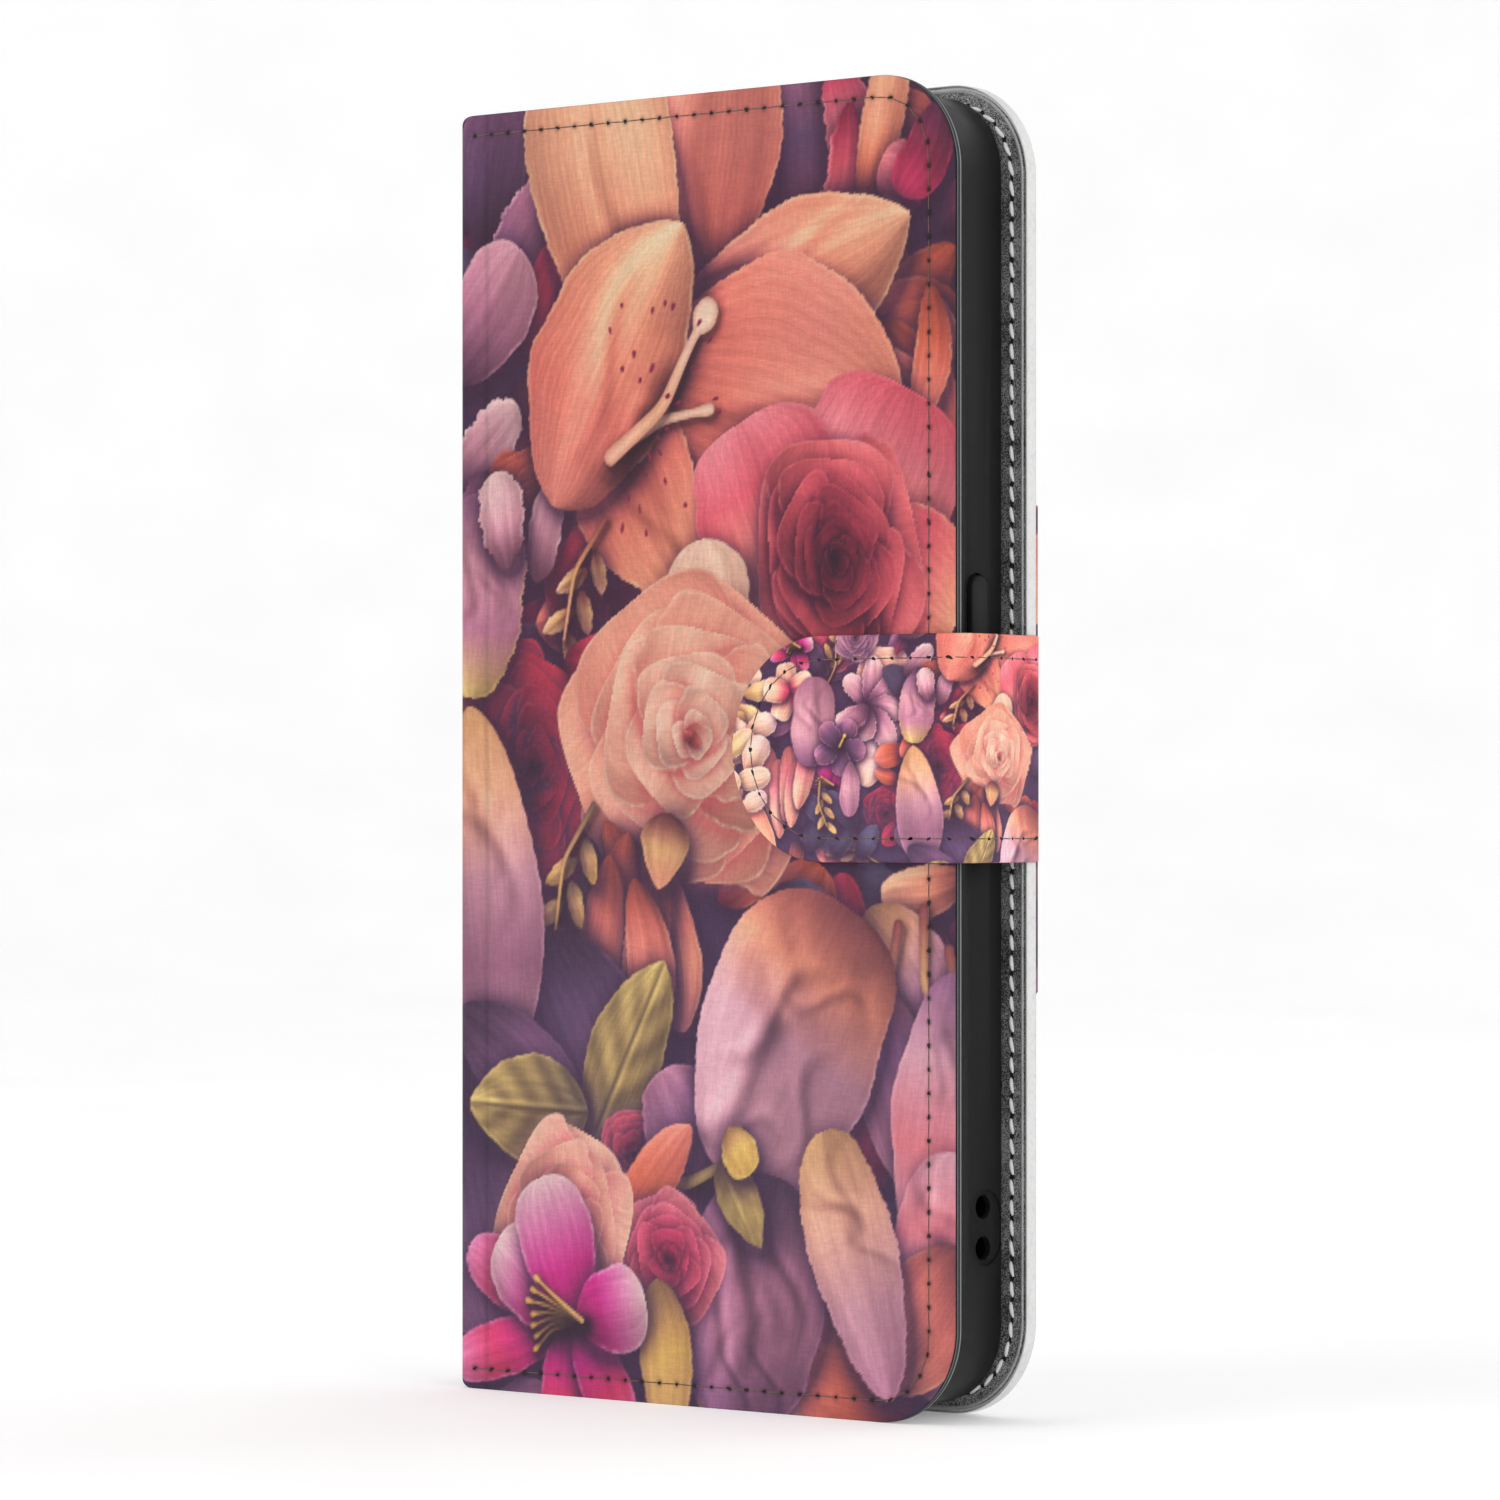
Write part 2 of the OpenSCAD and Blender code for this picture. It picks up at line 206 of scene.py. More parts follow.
    def rose(self, x, y, r, colours, seed, turn=0., squash=1., rings=6, shadow=.7, dark=.35, heart=.3):
        """A rose seen from above. colours are its outer petals', its inner petals' and their depths'."""
        rng = random.Random(seed)
        pick, d = self.near(x, y, r * 1.7)
        if not len(pick):
            return
        a = math.radians(turn)
        c, s = math.cos(a), math.sin(a)
        flat = np.stack([d[:, 0] * c + d[:, 1] * s, (d[:, 1] * c - d[:, 0] * s) / squash], -1)
        part = Canvas(flat, self.rgb[pick], self.grain[pick], self.soft)
        outer, inner, deep = colours
        for k in range(rings):
            f = (1 - k / (rings + .3)) ** 1.1
            n = 5 if k < 1 else 4 if k < 3 else 3
            first = rng.uniform(0, 360)
            for i in range(n):
                way = first + 360 * i / n + rng.uniform(-14, 14)
                size = r * f * rng.uniform(.92, 1.06)
                back = size * (.1 + .05 * k)
                face = mixed(outer, inner, min(1, k / (rings - 1) * 1.1))
                hollow = mixed(face, deep, .75)
                b = math.radians(way)
                width = size * rng.uniform(1.35, 1.75)
                part.petal(-back * math.cos(b), -back * math.sin(b), way, size + back, width,
                           (deep, hollow, mixed(face, deep, .25), face), seed * 7 + k * 11 + i, base=.55,
                           tip=.28, dark=dark, light=.16, rim=.55, fold=.07, fray=.04 * r / 10,
                           bend=rng.uniform(-.3, .3), shadow=shadow * (1 if k else .8), vein=.03,
                           cast=max(.3, f * .9), under=mixed(deep, NIGHT, .15 if k else .8))
        part.petal(-r * .07, 0, 20, r * .16, r * .1, (deep, mixed(deep, (0, 0, 0), .5), deep), seed, dark=0,
                   rim=0, shadow=.3, cast=.3)
        away = np.hypot(*flat.T) / r
        dim = heart * (1 + .35 * ripple(away * 9, seed)) * np.exp(-(away / .42) ** 2)
        part.rgb *= 1 - dim[:, None]
        self.rgb[pick], self.grain[pick] = part.rgb, part.grain

    def crease(self, x, y, turn, length, wide, depth):
        """A soft dark fold through what is painted, with a light line beside it."""
        a = math.radians(turn)
        pick, d = self.near(x, y, length / 2 + wide * 4)
        u = (d[:, 0] * math.cos(a) + d[:, 1] * math.sin(a)) / length
        v = d[:, 1] * math.cos(a) - d[:, 0] * math.sin(a) + 2.5 * np.sin(u * 5)
        along = np.exp(-(u * 2) ** 4)
        line_dark, line_light = np.exp(-(v / wide) ** 2), np.exp(-((v + wide * 1.6) / wide) ** 2)
        tone = 1 - depth * along * line_dark + depth * .45 * along * line_light
        self.rgb[pick] = self.rgb[pick] * tone[:, None]

    def stroke(self, points, thick, colours, bulb=0., shadow=.5):
        """A stem, stamen or thread along points, thick mm at its start and thinner towards its end."""
        pts = np.array(points, float)
        even, given = np.linspace(0, 1, 24), np.linspace(0, 1, len(pts))
        fine = np.stack([np.interp(even, given, pts[:, i]) for i in (0, 1)], -1)
        for _ in range(3):
            fine[1:-1] = (fine[:-2] + fine[1:-1] * 2 + fine[2:]) / 4
        mid, reach = (fine.min(0) + fine.max(0)) / 2, (np.ptp(fine, 0).max()) / 2 + 4
        pick, d = self.near(mid[0], mid[1], reach)
        if not len(pick):
            return
        best = np.full(len(pick), 99.)
        where, under = np.zeros(len(pick)), np.full(len(pick), 99.)
        for i in range(len(fine) - 1):
            a, b = fine[i] - mid, fine[i + 1] - mid
            ab = b - a
            for lift in (0, 1):
                e = d - a - np.array([.45, .7]) * lift
                t = np.clip((e @ ab) / (ab @ ab + 1e-9), 0, 1)
                at = (i + t) / (len(fine) - 1)
                w = thick * (1 - .55 * at) / 2 + bulb * np.exp(-((at - .97) / .09) ** 2)
                gap = np.hypot(*(e - t[:, None] * ab).T) - w
                if lift:
                    under = np.minimum(under, gap)
                else:
                    where = np.where(gap < best, at, where)
                    best = np.minimum(best, gap)
        back = self.rgb[pick] * (1 - shadow * np.exp(-np.maximum(under, 0) / .6))[:, None]
        rgb = ramp(where, colours) * (1 - .25 * smooth(-thick / 2, 0, best) + .12)[:, None]
        alpha = smooth(self.soft, -self.soft, best)[:, None]
        self.rgb[pick] = back + (rgb - back) * alpha


# The print's colours, and the faded, milky film over them
FADE, MILK, COOL = (.7, .68, .6), (.205, .132, .175), np.array((.025, .042, .052))
NIGHT, DUSK, PLUM = (.19, .155, .27), (.29, .24, .36), (.36, .19, .31)
PEACH, APRICOT, CORAL, SALMON = (.96, .71, .56), (.95, .61, .48), (.91, .5, .43), (.92, .57, .5)
ROSE, PINK, HOT = (.83, .35, .4), (.87, .48, .52), (.8, .2, .38)
WINE, BLOOD = (.45, .13, .23), (.67, .19, .26)
CREAM, SHELL, BLUSH = (.95, .8, .7), (.94, .7, .6), (.87, .52, .46)
LILAC, MAUVE, VIOLET, PALE = (.79, .6, .68), (.64, .45, .56), (.43, .31, .45), (.86, .75, .78)
OLIVE, MOSS, LIME = (.55, .5, .29), (.36, .35, .27), (.7, .64, .36)
OCHRE, GOLD = (.8, .64, .42), (.86, .71, .34)
MAGENTA, RUST, UMBER, SLATE = (.74, .1, .5), (.74, .37, .25), (.47, .26, .24), (.25, .27, .37)


def fillers(k, seed, count, x0, x1):
    """Dark petals and leaves that show between the flowers."""
    rng = random.Random(seed)
    sets = [(NIGHT, PLUM, WINE), (NIGHT, DUSK, VIOLET), (NIGHT, WINE, BLOOD), (NIGHT, UMBER, RUST),
            (NIGHT, MOSS, OLIVE), (NIGHT, SLATE, SLATE), (WINE, RUST, CORAL), (DUSK, VIOLET, MAUVE)]
    for i in range(count):
        size = rng.uniform(7, 18)
        k.petal(rng.uniform(x0, x1), rng.uniform(-8, 176), rng.uniform(0, 360), size,
                size * rng.uniform(.45, .8), rng.choice(sets), seed + i, tip=rng.uniform(.35, .8),
                bend=rng.uniform(-.4, .4), rim=.3, shadow=.6)


def sprig(k, x, y, turn, length, colours, seed):
    """A thin twig with small leaves on both sides."""
    a = math.radians(turn)
    end = (x + length * math.cos(a), y + length * math.sin(a))
    bow = (x + length * .5 * math.cos(a + .25), y + length * .5 * math.sin(a + .25))
    for i in range(5):
        f = .25 + .17 * i
        way = turn + (38 if i % 2 else -38)
        k.petal(x + (end[0] - x) * f, y + (end[1] - y) * f, way, length * .36, length * .15, colours,
                seed + i, tip=.7, rim=.4, dark=.15, rib=.1)
    k.stroke([(x, y), bow, end], .9, colours)


def lily(k):
    """The big peach lily near the top of the front."""
    soft = dict(rim=.5, fold=.13, vein=.06, dark=.2, light=.26, fray=.16)
    k.petal(41, 33, -84, 46, 24, (CORAL, CORAL, SALMON, APRICOT), 11, base=.8, tip=.5, **soft)
    k.crease(43, 16, -84, 30, 1.4, .2)
    k.petal(33, 38, -104, 50, 25, (CORAL, APRICOT, PEACH, PEACH), 12, base=.8, tip=.45, **soft)
    k.crease(29, 18, -102, 34, 1.3, .18)
    k.petal(38, 31, -19, 41, 22, (CORAL, SALMON, APRICOT, PEACH), 13, base=.7, tip=.75, bend=-.16, **soft)
    k.crease(58, 23, -19, 30, 1.2, .2)
    k.petal(31, 35, 13, 46, 35, (CORAL, CORAL, SALMON, APRICOT), 14, base=.85, tip=.62, bend=.1, **soft)
    k.crease(55, 41, 12, 34, 1.6, .2)
    k.petal(27, 40, 60, 31, 21, (SALMON, CORAL, APRICOT, PEACH), 15, base=.5, tip=1., bend=-.2, **soft)
    k.crease(34, 55, 62, 20, 1.1, .16)
    k.petal(17, 52, -58, 42, 25, (SALMON, CORAL, APRICOT, PEACH), 17, base=.62, tip=.7, bend=.2, **soft)
    k.crease(27, 34, -58, 26, 1.4, .22)
    k.crease(34, 42, -33, 19, 2.6, .5)
    k.crease(31, 45, -28, 12, 1.6, .45)
    k.stroke([(28, 45), (36, 41.5), (44, 40.5)], 1.9, (SHELL, CREAM, CREAM), bulb=.35)
    k.stroke([(27, 46), (36, 40), (40, 33), (43.5, 28)], 2.2, (SHELL, PEACH, CREAM, CREAM), bulb=1.5)
    rng = random.Random(5)
    for i in range(34):
        a, far = rng.uniform(-1.9, 1.7), rng.uniform(4, 17)
        x, y = 31 + far * math.cos(a), 41 + far * math.sin(a) * .9
        k.petal(x, y, math.degrees(a), rng.uniform(.7, 1.4), rng.uniform(.4, .7), (WINE, WINE), 30 + i,
                rim=0, shadow=0, fray=0, vein=0, dark=0)


def bell(k, x, y, turn, length, width, colours, seed, **more):
    """A big soft petal with shallow creases."""
    look = dict(base=.36, tip=.4, fold=.13, vein=.02, rim=.4, dark=.12, light=.2)
    k.petal(x, y, turn, length, width, colours, seed, **{**look, **more})
    rng = random.Random(seed)
    a = math.radians(turn)
    for _ in range(4):
        f, side = rng.uniform(.2, .5), rng.uniform(-.25, .25) * width
        way = turn + rng.uniform(-30, 30)
        k.crease(x + math.cos(a) * length * f - math.sin(a) * side,
                 y + math.sin(a) * length * f + math.cos(a) * side,
                 way, length * rng.uniform(.25, .45), width * .07, .15)


def orchid(k, x, y, size, seed):
    """A magenta flower with pale petals and yellow stamens."""
    rng = random.Random(seed)
    hot = (MAGENTA, MAGENTA, (.83, .45, .68), PALE)
    deep = (MAGENTA, MAGENTA, HOT, (.86, .5, .7))
    for way, long, wide, colours in ((200, 1.35, .6, deep), (165, 1.5, .5, deep), (100, 1.05, .7, deep),
                                     (60, 1.1, .55, deep), (-150, 1.1, .8, hot), (-105, 1.25, .85, hot),
                                     (-15, .8, .75, hot)):
        k.petal(x, y, way + rng.uniform(-6, 6), size * long, size * wide, colours, seed + way + 300,
                base=.6, tip=.4, dark=.25, fold=.06, vein=.05, rim=.45)
    for i in range(7):
        a = math.radians(150 + i * 11)
        far = size * rng.uniform(.45, .62)
        k.stroke([(x + 1, y), (x + far * .6 * math.cos(a), y + far * .5 * math.sin(a) - .6),
                  (x + far * math.cos(a), y + far * math.sin(a))], .7, (OCHRE, GOLD, GOLD), bulb=.25)


def collage(p, soft=.13):
    """The colours and petal directions of the printed flowers at points p, which are as on a Canvas."""
    k = Canvas(p, np.tile(np.array(NIGHT), (len(p), 1)), np.zeros((len(p), 3)), soft)
    for side in (-1, 1):
        # The same kinds of flower go on round the spine and past the opening edge
        x0 = -90 if side < 0 else 84
        fillers(k, 900 + side, 70, x0 - 4, x0 + 94)
        beds(k, x0, side)
    strap_bed(k)
    fillers(k, 40, 170, -4, 88)
    front(k)
    # The whole print is faded, as under a thin milky film, which is cooler low down
    rgb = np.clip(k.rgb, 0, 1)
    rgb = rgb * .4 + smooth(0, 1, rgb) * .6
    return rgb * FADE + MILK + COOL * smooth(55, 130, p[:, 1])[:, None], k.grain


def beds(k, x0, side):
    """Flowers on the parts of the print beside the front cover, 90 mm wide from x0."""
    rng = random.Random(77 + side)
    kinds = [(SALMON, ROSE, WINE), (SHELL, BLUSH, ROSE), (BLOOD, WINE, NIGHT), (PINK, HOT, WINE),
             (CREAM, SHELL, BLUSH), (APRICOT, CORAL, UMBER)]
    for row in range(6):
        for col in range(4):
            x = x0 + 11 + col * 23 + rng.uniform(-5, 5)
            y = 8 + row * 29 + rng.uniform(-6, 6) + (col % 2) * 13
            what = rng.random()
            way = rng.uniform(0, 360)
            if what < .45:
                k.rose(x, y, rng.uniform(10, 14), kinds[rng.randrange(6)], rng.randrange(999), way,
                       rng.uniform(.75, 1))
            elif what < .75:
                bell(k, x, y - 12, rng.uniform(60, 120), rng.uniform(24, 32), rng.uniform(14, 18),
                     rng.choice([(OCHRE, LILAC, MAUVE, LILAC), (MAUVE, LILAC, PALE), (PALE, PALE, CREAM)]),
                     rng.randrange(999))
            elif what < .88:
                orchid(k, x, y, rng.uniform(11, 14), rng.randrange(999))
            else:
                sprig(k, x, y - 8, way, 20, (OLIVE, OCHRE, GOLD), rng.randrange(999))


def strap_bed(k):
    """Flowers left of the front's own, which the strap's tab shows at a smaller scale."""
    rng = random.Random(31)
    for i in range(9):
        k.petal(rng.uniform(-84, -20), rng.uniform(30, 128), rng.uniform(0, 360), rng.uniform(16, 26),
                rng.uniform(9, 15),
                rng.choice([(NIGHT, SLATE, SLATE), (NIGHT, DUSK, VIOLET), (WINE, PLUM, HOT)]), 500 + i,
                rim=.5)
    for i in range(7):
        k.petal(rng.uniform(-50, -22), rng.uniform(108, 122), rng.uniform(-150, -30), rng.uniform(13, 20), 9,
                rng.choice([(NIGHT, SLATE, SLATE), (NIGHT, DUSK, SLATE)]), 520 + i, rim=.6, tip=.7)
    for i in range(5):
        k.petal(-64 + i * 5, 78 + (i % 2) * 5, 84 + 5 * i, 34 - i * 2, 9, (SALMON, PINK, SHELL, SALMON),
                530 + i, tip=.6, base=.4, rim=.6, bend=rng.uniform(-.2, .2))
    k.petal(-76, 96, 68, 34, 15, (CORAL, APRICOT, PEACH), 536, rim=.5, tip=.6)
    for i in range(24):
        y = 46 + i * 2.6
        x = -79 + 7 * math.sin(i * 2.1) - abs(y - 78) * .12
        k.petal(x, y, rng.uniform(-60, 60) + 180 * (i % 2), rng.uniform(12, 19), rng.uniform(8, 12),
                rng.choice([(OCHRE, CREAM, CREAM), (SHELL, CREAM, PALE), (OCHRE, (.9, .8, .55), CREAM)]),
                540 + i, rim=.7, shadow=.5, dark=.2, fray=.25)
    orchid(k, -50, 38, 9, 570)
    for i in range(5):
        k.petal(-54, 56, -100 + 72 * i, 12, 10, (HOT, SHELL, CREAM), 575 + i, base=.4, tip=.3, rim=.7,
                dark=.25)
    bell(k, -42, 50, 94, 36, 20, (MAUVE, LILAC, LILAC, VIOLET), 580, rim=.6)
    for i in range(7):
        k.petal(-18, 62, -130 + 47 * i, rng.uniform(14, 21), rng.uniform(8, 12), (VIOLET, MAUVE, LILAC, PALE),
                590 + i, rim=.7, fray=.35, bend=rng.uniform(-.3, .3))
    for i in range(5):
        k.petal(-31, 78, -60 + 72 * i, 12, 9, (NIGHT, DUSK, VIOLET, MAUVE), 600 + i, rim=.7, fray=.3)
        k.stroke([(-31, 78), (-31 + 5 * math.cos(i * 1.3), 78 + 5 * math.sin(i * 1.3))], 1.2,
                 (OLIVE, GOLD, GOLD), bulb=.5)
    sprig(k, -40, 92, 80, 18, (OLIVE, OCHRE, GOLD), 610)
    k.petal(-26, 84, 92, 22, 9, (MAUVE, LILAC, MAUVE), 616, rim=.6)
    k.rose(-24, 34, 9, (LILAC, MAUVE, DUSK), 617)


def front(k):
    """The front cover's own flowers, 84 by 168 mm."""
    # Upper left: dusky petals
    k.petal(14, 22, -110, 26, 15, (NIGHT, VIOLET, DUSK, MAUVE), 201, rim=.5)
    k.petal(4, 18, -80, 22, 12, (NIGHT, DUSK, VIOLET), 202)
    k.petal(6, 26, -50, 22, 10, (DUSK, VIOLET, MAUVE, LILAC), 203, rim=.7, fray=.3, bend=.3)
    k.petal(14, 34, -70, 20, 11, (WINE, BLOOD, HOT), 204, rim=.1, tip=.6)
    k.petal(-3, 35, -50, 22, 14, (VIOLET, MAUVE, LILAC), 205, rim=.5, bend=-.2)
    k.petal(-2, 50, -42, 17, 8, (VIOLET, LILAC, PALE), 206, rim=.6, fray=.35)
    # Top: pink petals and buds
    k.petal(47, -6, 70, 18, 12, (HOT, HOT, PINK), 210, rim=.4)
    k.petal(56, 16, -120, 20, 15, (WINE, PLUM, HOT), 211, rim=.2)
    k.petal(60, 18, -95, 22, 16, (PLUM, DUSK, MAUVE), 212, rim=.3)
    k.petal(64, -3, 75, 16, 8, (HOT, PINK, PINK), 213, rim=.6, bend=.25, fray=.3)
    k.petal(67, 3, 95, 15, 6, (HOT, ROSE, PINK), 214, rim=.7, fray=.35)
    k.petal(69, 16, -75, 21, 7, (RUST, APRICOT, PEACH), 215, bend=-.1)
    k.petal(80, 15, -150, 9, 9, (HOT, PINK, PINK), 216, base=.45, tip=.45, rim=.3)
    k.petal(82, 4, 120, 13, 8, (PLUM, WINE, HOT), 217, bend=.3)
    # Right: twisting orange leaves
    for i, (x, y, way, long, wide, bow) in enumerate([
            (84, 22, 150, 19, 9, .3), (86, 30, 170, 22, 10, -.25), (70, 30, 60, 20, 9, .35),
            (88, 44, -150, 22, 8, .35), (78, 50, -80, 22, 9, -.3), (85, 58, -100, 24, 9, .15),
            (70, 44, 20, 16, 6, -.4), (80, 26, 100, 20, 6, .4)]):
        k.petal(x, y, way, long, wide, (RUST, RUST, CORAL, APRICOT), 220 + i, tip=.75, base=.7, bend=bow,
                rim=.5, dark=.35)
    # Left of the middle: small roses, lilac petals and a sprig, under the lily
    k.rose(15, 52, 10, (RUST, UMBER, NIGHT), 231, 20, .8)
    k.rose(28, 66, 12.5, (BLOOD, WINE, NIGHT), 232, 60, .85)
    k.petal(5, 47, 100, 16, 11, (VIOLET, MAUVE, LILAC), 233, rim=.5, fray=.3)
    k.petal(14, 62, -78, 15, 6, (MAUVE, LILAC, PALE), 234, tip=.7, rim=.6, fray=.25)
    lily(k)
    sprig(k, 26, 54, 115, 17, (UMBER, OCHRE, PEACH), 240)
    # Red rose beside the cream one
    k.rose(13.5, 86, 15.5, (BLOOD, WINE, NIGHT), 250, 80, .72)
    k.petal(19, 72, 10, 9, 8, (WINE, BLOOD, HOT), 251, rim=.3)
    # Lilac hood at the left edge
    bell(k, 5, 50, 96, 27, 16, (VIOLET, LILAC, MAUVE, LIME), 252, rim=.5, fray=.25, vein=.05)
    k.petal(9, 60, -100, 13, 8, (MAUVE, LILAC, PALE), 253, rim=.5, fray=.3)
    # Salmon rose with a wine-red heart
    k.petal(66, 62, -64, 25, 26, (ROSE, SALMON, PINK, ROSE), 260, base=.4, tip=.3, rim=.5, bend=.1)
    k.petal(60, 66, -115, 26, 25, (APRICOT, SALMON, ROSE, PINK), 261, base=.4, tip=.28, rim=.5)
    k.petal(66, 60, 30, 20, 24, (SALMON, ROSE, APRICOT), 262, base=.4, tip=.3, rim=.5)
    k.rose(65, 60, 15.5, ((.86, .42, .43), (.5, .13, .21), (.2, .05, .12)), 263, 70, .8, rings=7, dark=.5,
           heart=.4)
    # Cream rose in the middle
    k.petal(44, 70, -95, 13, 15, (SHELL, CREAM, CREAM), 264, base=.4, tip=.5, rim=.4)
    k.rose(41, 82, 20.5, ((.93, .64, .54), CREAM, (.8, .4, .36)), 265, 15, .97, rings=7, shadow=.6, dark=.18,
           heart=.06)
    # Folded coral flower and twigs under it
    for i, (x, way, bow) in enumerate([(26, 70, .3), (30, 95, -.25), (33, 75, .25), (27, 105, .2),
                                       (36, 98, -.2), (31, 84, .3)]):
        k.petal(x, 93 + i * 1.5, way, 27 - i, 8, (RUST, CORAL, APRICOT, SALMON), 270 + i, tip=.5, bend=bow,
                rim=.5, dark=.3)
    sprig(k, 24, 91, 112, 18, (MOSS, OCHRE, GOLD), 280)
    k.petal(37, 92, 100, 10, 8, (UMBER, OCHRE, APRICOT), 283, tip=.9)
    # Long petal at the left edge, yellow above and mauve below
    k.petal(14, 108, 60, 26, 22, (NIGHT, DUSK, VIOLET), 284, rim=.3)
    bell(k, 2, 78, 84, 46, 20, (OCHRE, PEACH, LILAC, MAUVE, LILAC), 285, base=.6, tip=.36, rim=.35)
    # Lower left: dusky leaves and two olive ones
    k.petal(0, 118, 35, 26, 14, (DUSK, VIOLET, DUSK), 286)
    k.petal(-2, 128, 75, 34, 20, (NIGHT, DUSK, VIOLET), 287)
    k.petal(24, 134, -62, 26, 13, (MOSS, OLIVE, OLIVE, LIME), 288, tip=.75, rib=.3, rim=.4, dark=.15)
    k.petal(23, 131, 182, 21, 14, (MOSS, OLIVE, LIME), 289, tip=.72, rib=.3, rim=.5, dark=.15)
    # Large lilac bell
    k.rose(31, 136, 6, (ROSE, WINE, NIGHT), 290)
    k.petal(44, 140, -120, 17, 13, (DUSK, VIOLET, MAUVE), 291, rim=.5, fray=.25)
    k.petal(86, 100, 170, 14, 7, (UMBER, APRICOT, PEACH), 292, bend=.2)
    k.petal(70, 104, 50, 17, 13, (OCHRE, PEACH, LILAC, MAUVE), 293, rim=.4)
    k.petal(88, 112, 130, 14, 9, (UMBER, VIOLET, MAUVE), 294)
    for i, (x, y) in enumerate(((75, 112), (79, 110), (83, 115))):
        k.stroke([(x, y - 6), (x - 2 + i * 2, y + 3), (x + 2, y + 9)], 1.6, (UMBER, OCHRE, GOLD), bulb=.5)
    k.petal(70, 112, 70, 30, 13, (UMBER, VIOLET, MAUVE, LILAC), 295, rim=.3)
    bell(k, 67, 104, 118, 40, 30, (UMBER, APRICOT, LILAC, LILAC, LILAC), 296, base=.34, tip=.4, bend=-.1)
    for row in ((51, 126, -36, 22, 1.8, .34), (55, 118, -28, 18, 1.3, .3), (60, 130, -58, 15, 1.2, .26),
                (63, 116, 20, 13, 1., .22), (49, 133, 10, 12, 1., .2)):
        k.crease(*row)
    # Right edge, lower down
    bell(k, 86, 112, 102, 34, 16, (VIOLET, LILAC, PINK, LILAC), 297, rim=.4)
    bell(k, 84, 134, 95, 31, 18, (LILAC, PINK, PALE, LILAC), 298, rim=.5)
    # Bottom: dusky and peach petals
    k.petal(50, 170, -10, 18, 10, (CORAL, PEACH, APRICOT), 299)
    k.petal(78, 164, 190, 20, 18, (WINE, RUST, CORAL), 300, rim=.2)
    k.petal(86, 146, 130, 22, 15, (UMBER, CORAL, APRICOT), 301)
    k.petal(40, 150, 60, 26, 14, (SALMON, SHELL, PEACH), 302, rim=.5)
    bell(k, 55, 138, 104, 32, 25, (DUSK, MAUVE, MAUVE, VIOLET), 303, base=.45, tip=.34, rim=.5, dark=.3)
    for row in ((50, 152, 100, 22, 1.5, .36), (45, 155, 112, 19, 1.1, .3), (56, 150, 84, 18, 1.1, .3),
                (48, 164, 95, 12, .8, .28), (53, 163, 90, 12, .8, .26)):
        k.crease(*row)
    bell(k, 63, 132, 72, 35, 14, (OCHRE, SHELL, LILAC, MAUVE), 304, base=.4, tip=.6, rim=.5, fray=.2)
    # Green bracts, bud and the small rose
    k.stroke([(33, 136), (39, 140), (46, 137), (49, 132)], 2, (OLIVE, LIME, LIME))
    k.petal(46, 136, 60, 13, 7, (OLIVE, LIME, OLIVE), 305, tip=.9, rib=.1)
    k.petal(47, 132, 60, 7, 6, (OCHRE, GOLD, GOLD), 306, rim=.4)
    k.petal(28, 150, -55, 22, 8, (WINE, RUST, CORAL), 307, bend=.2, tip=.6)
    k.rose(37, 149, 9, (PINK, HOT, WINE), 308, 40, .9, rings=5)
    k.petal(35, 152, 84, 19, 9, (OCHRE, GOLD, OCHRE), 309, base=.5, tip=.4, bend=.12, rim=.4, fold=.05)
    # Peach-pink rose and the magenta flower
    k.rose(19, 146, 13.5, (SHELL, SALMON, ROSE), 310, 100, .8, rings=5, shadow=.5, dark=.12, heart=.1)
    orchid(k, 21, 158, 15.5, 311)


# ---------------------------------------------------------------- materials

def node(tree, kind, sockets=None, **settings):
    """A shader node with the given settings. Each socket gets a value or a link."""
    n = tree.nodes.new("ShaderNode" + kind)
    for key, value in settings.items():
        setattr(n, key, value)
    for key, value in (sockets or {}).items():
        if isinstance(value, bpy.types.NodeSocket):
            tree.links.new(value, n.inputs[key])
        else:
            n.inputs[key].default_value = value
    return n


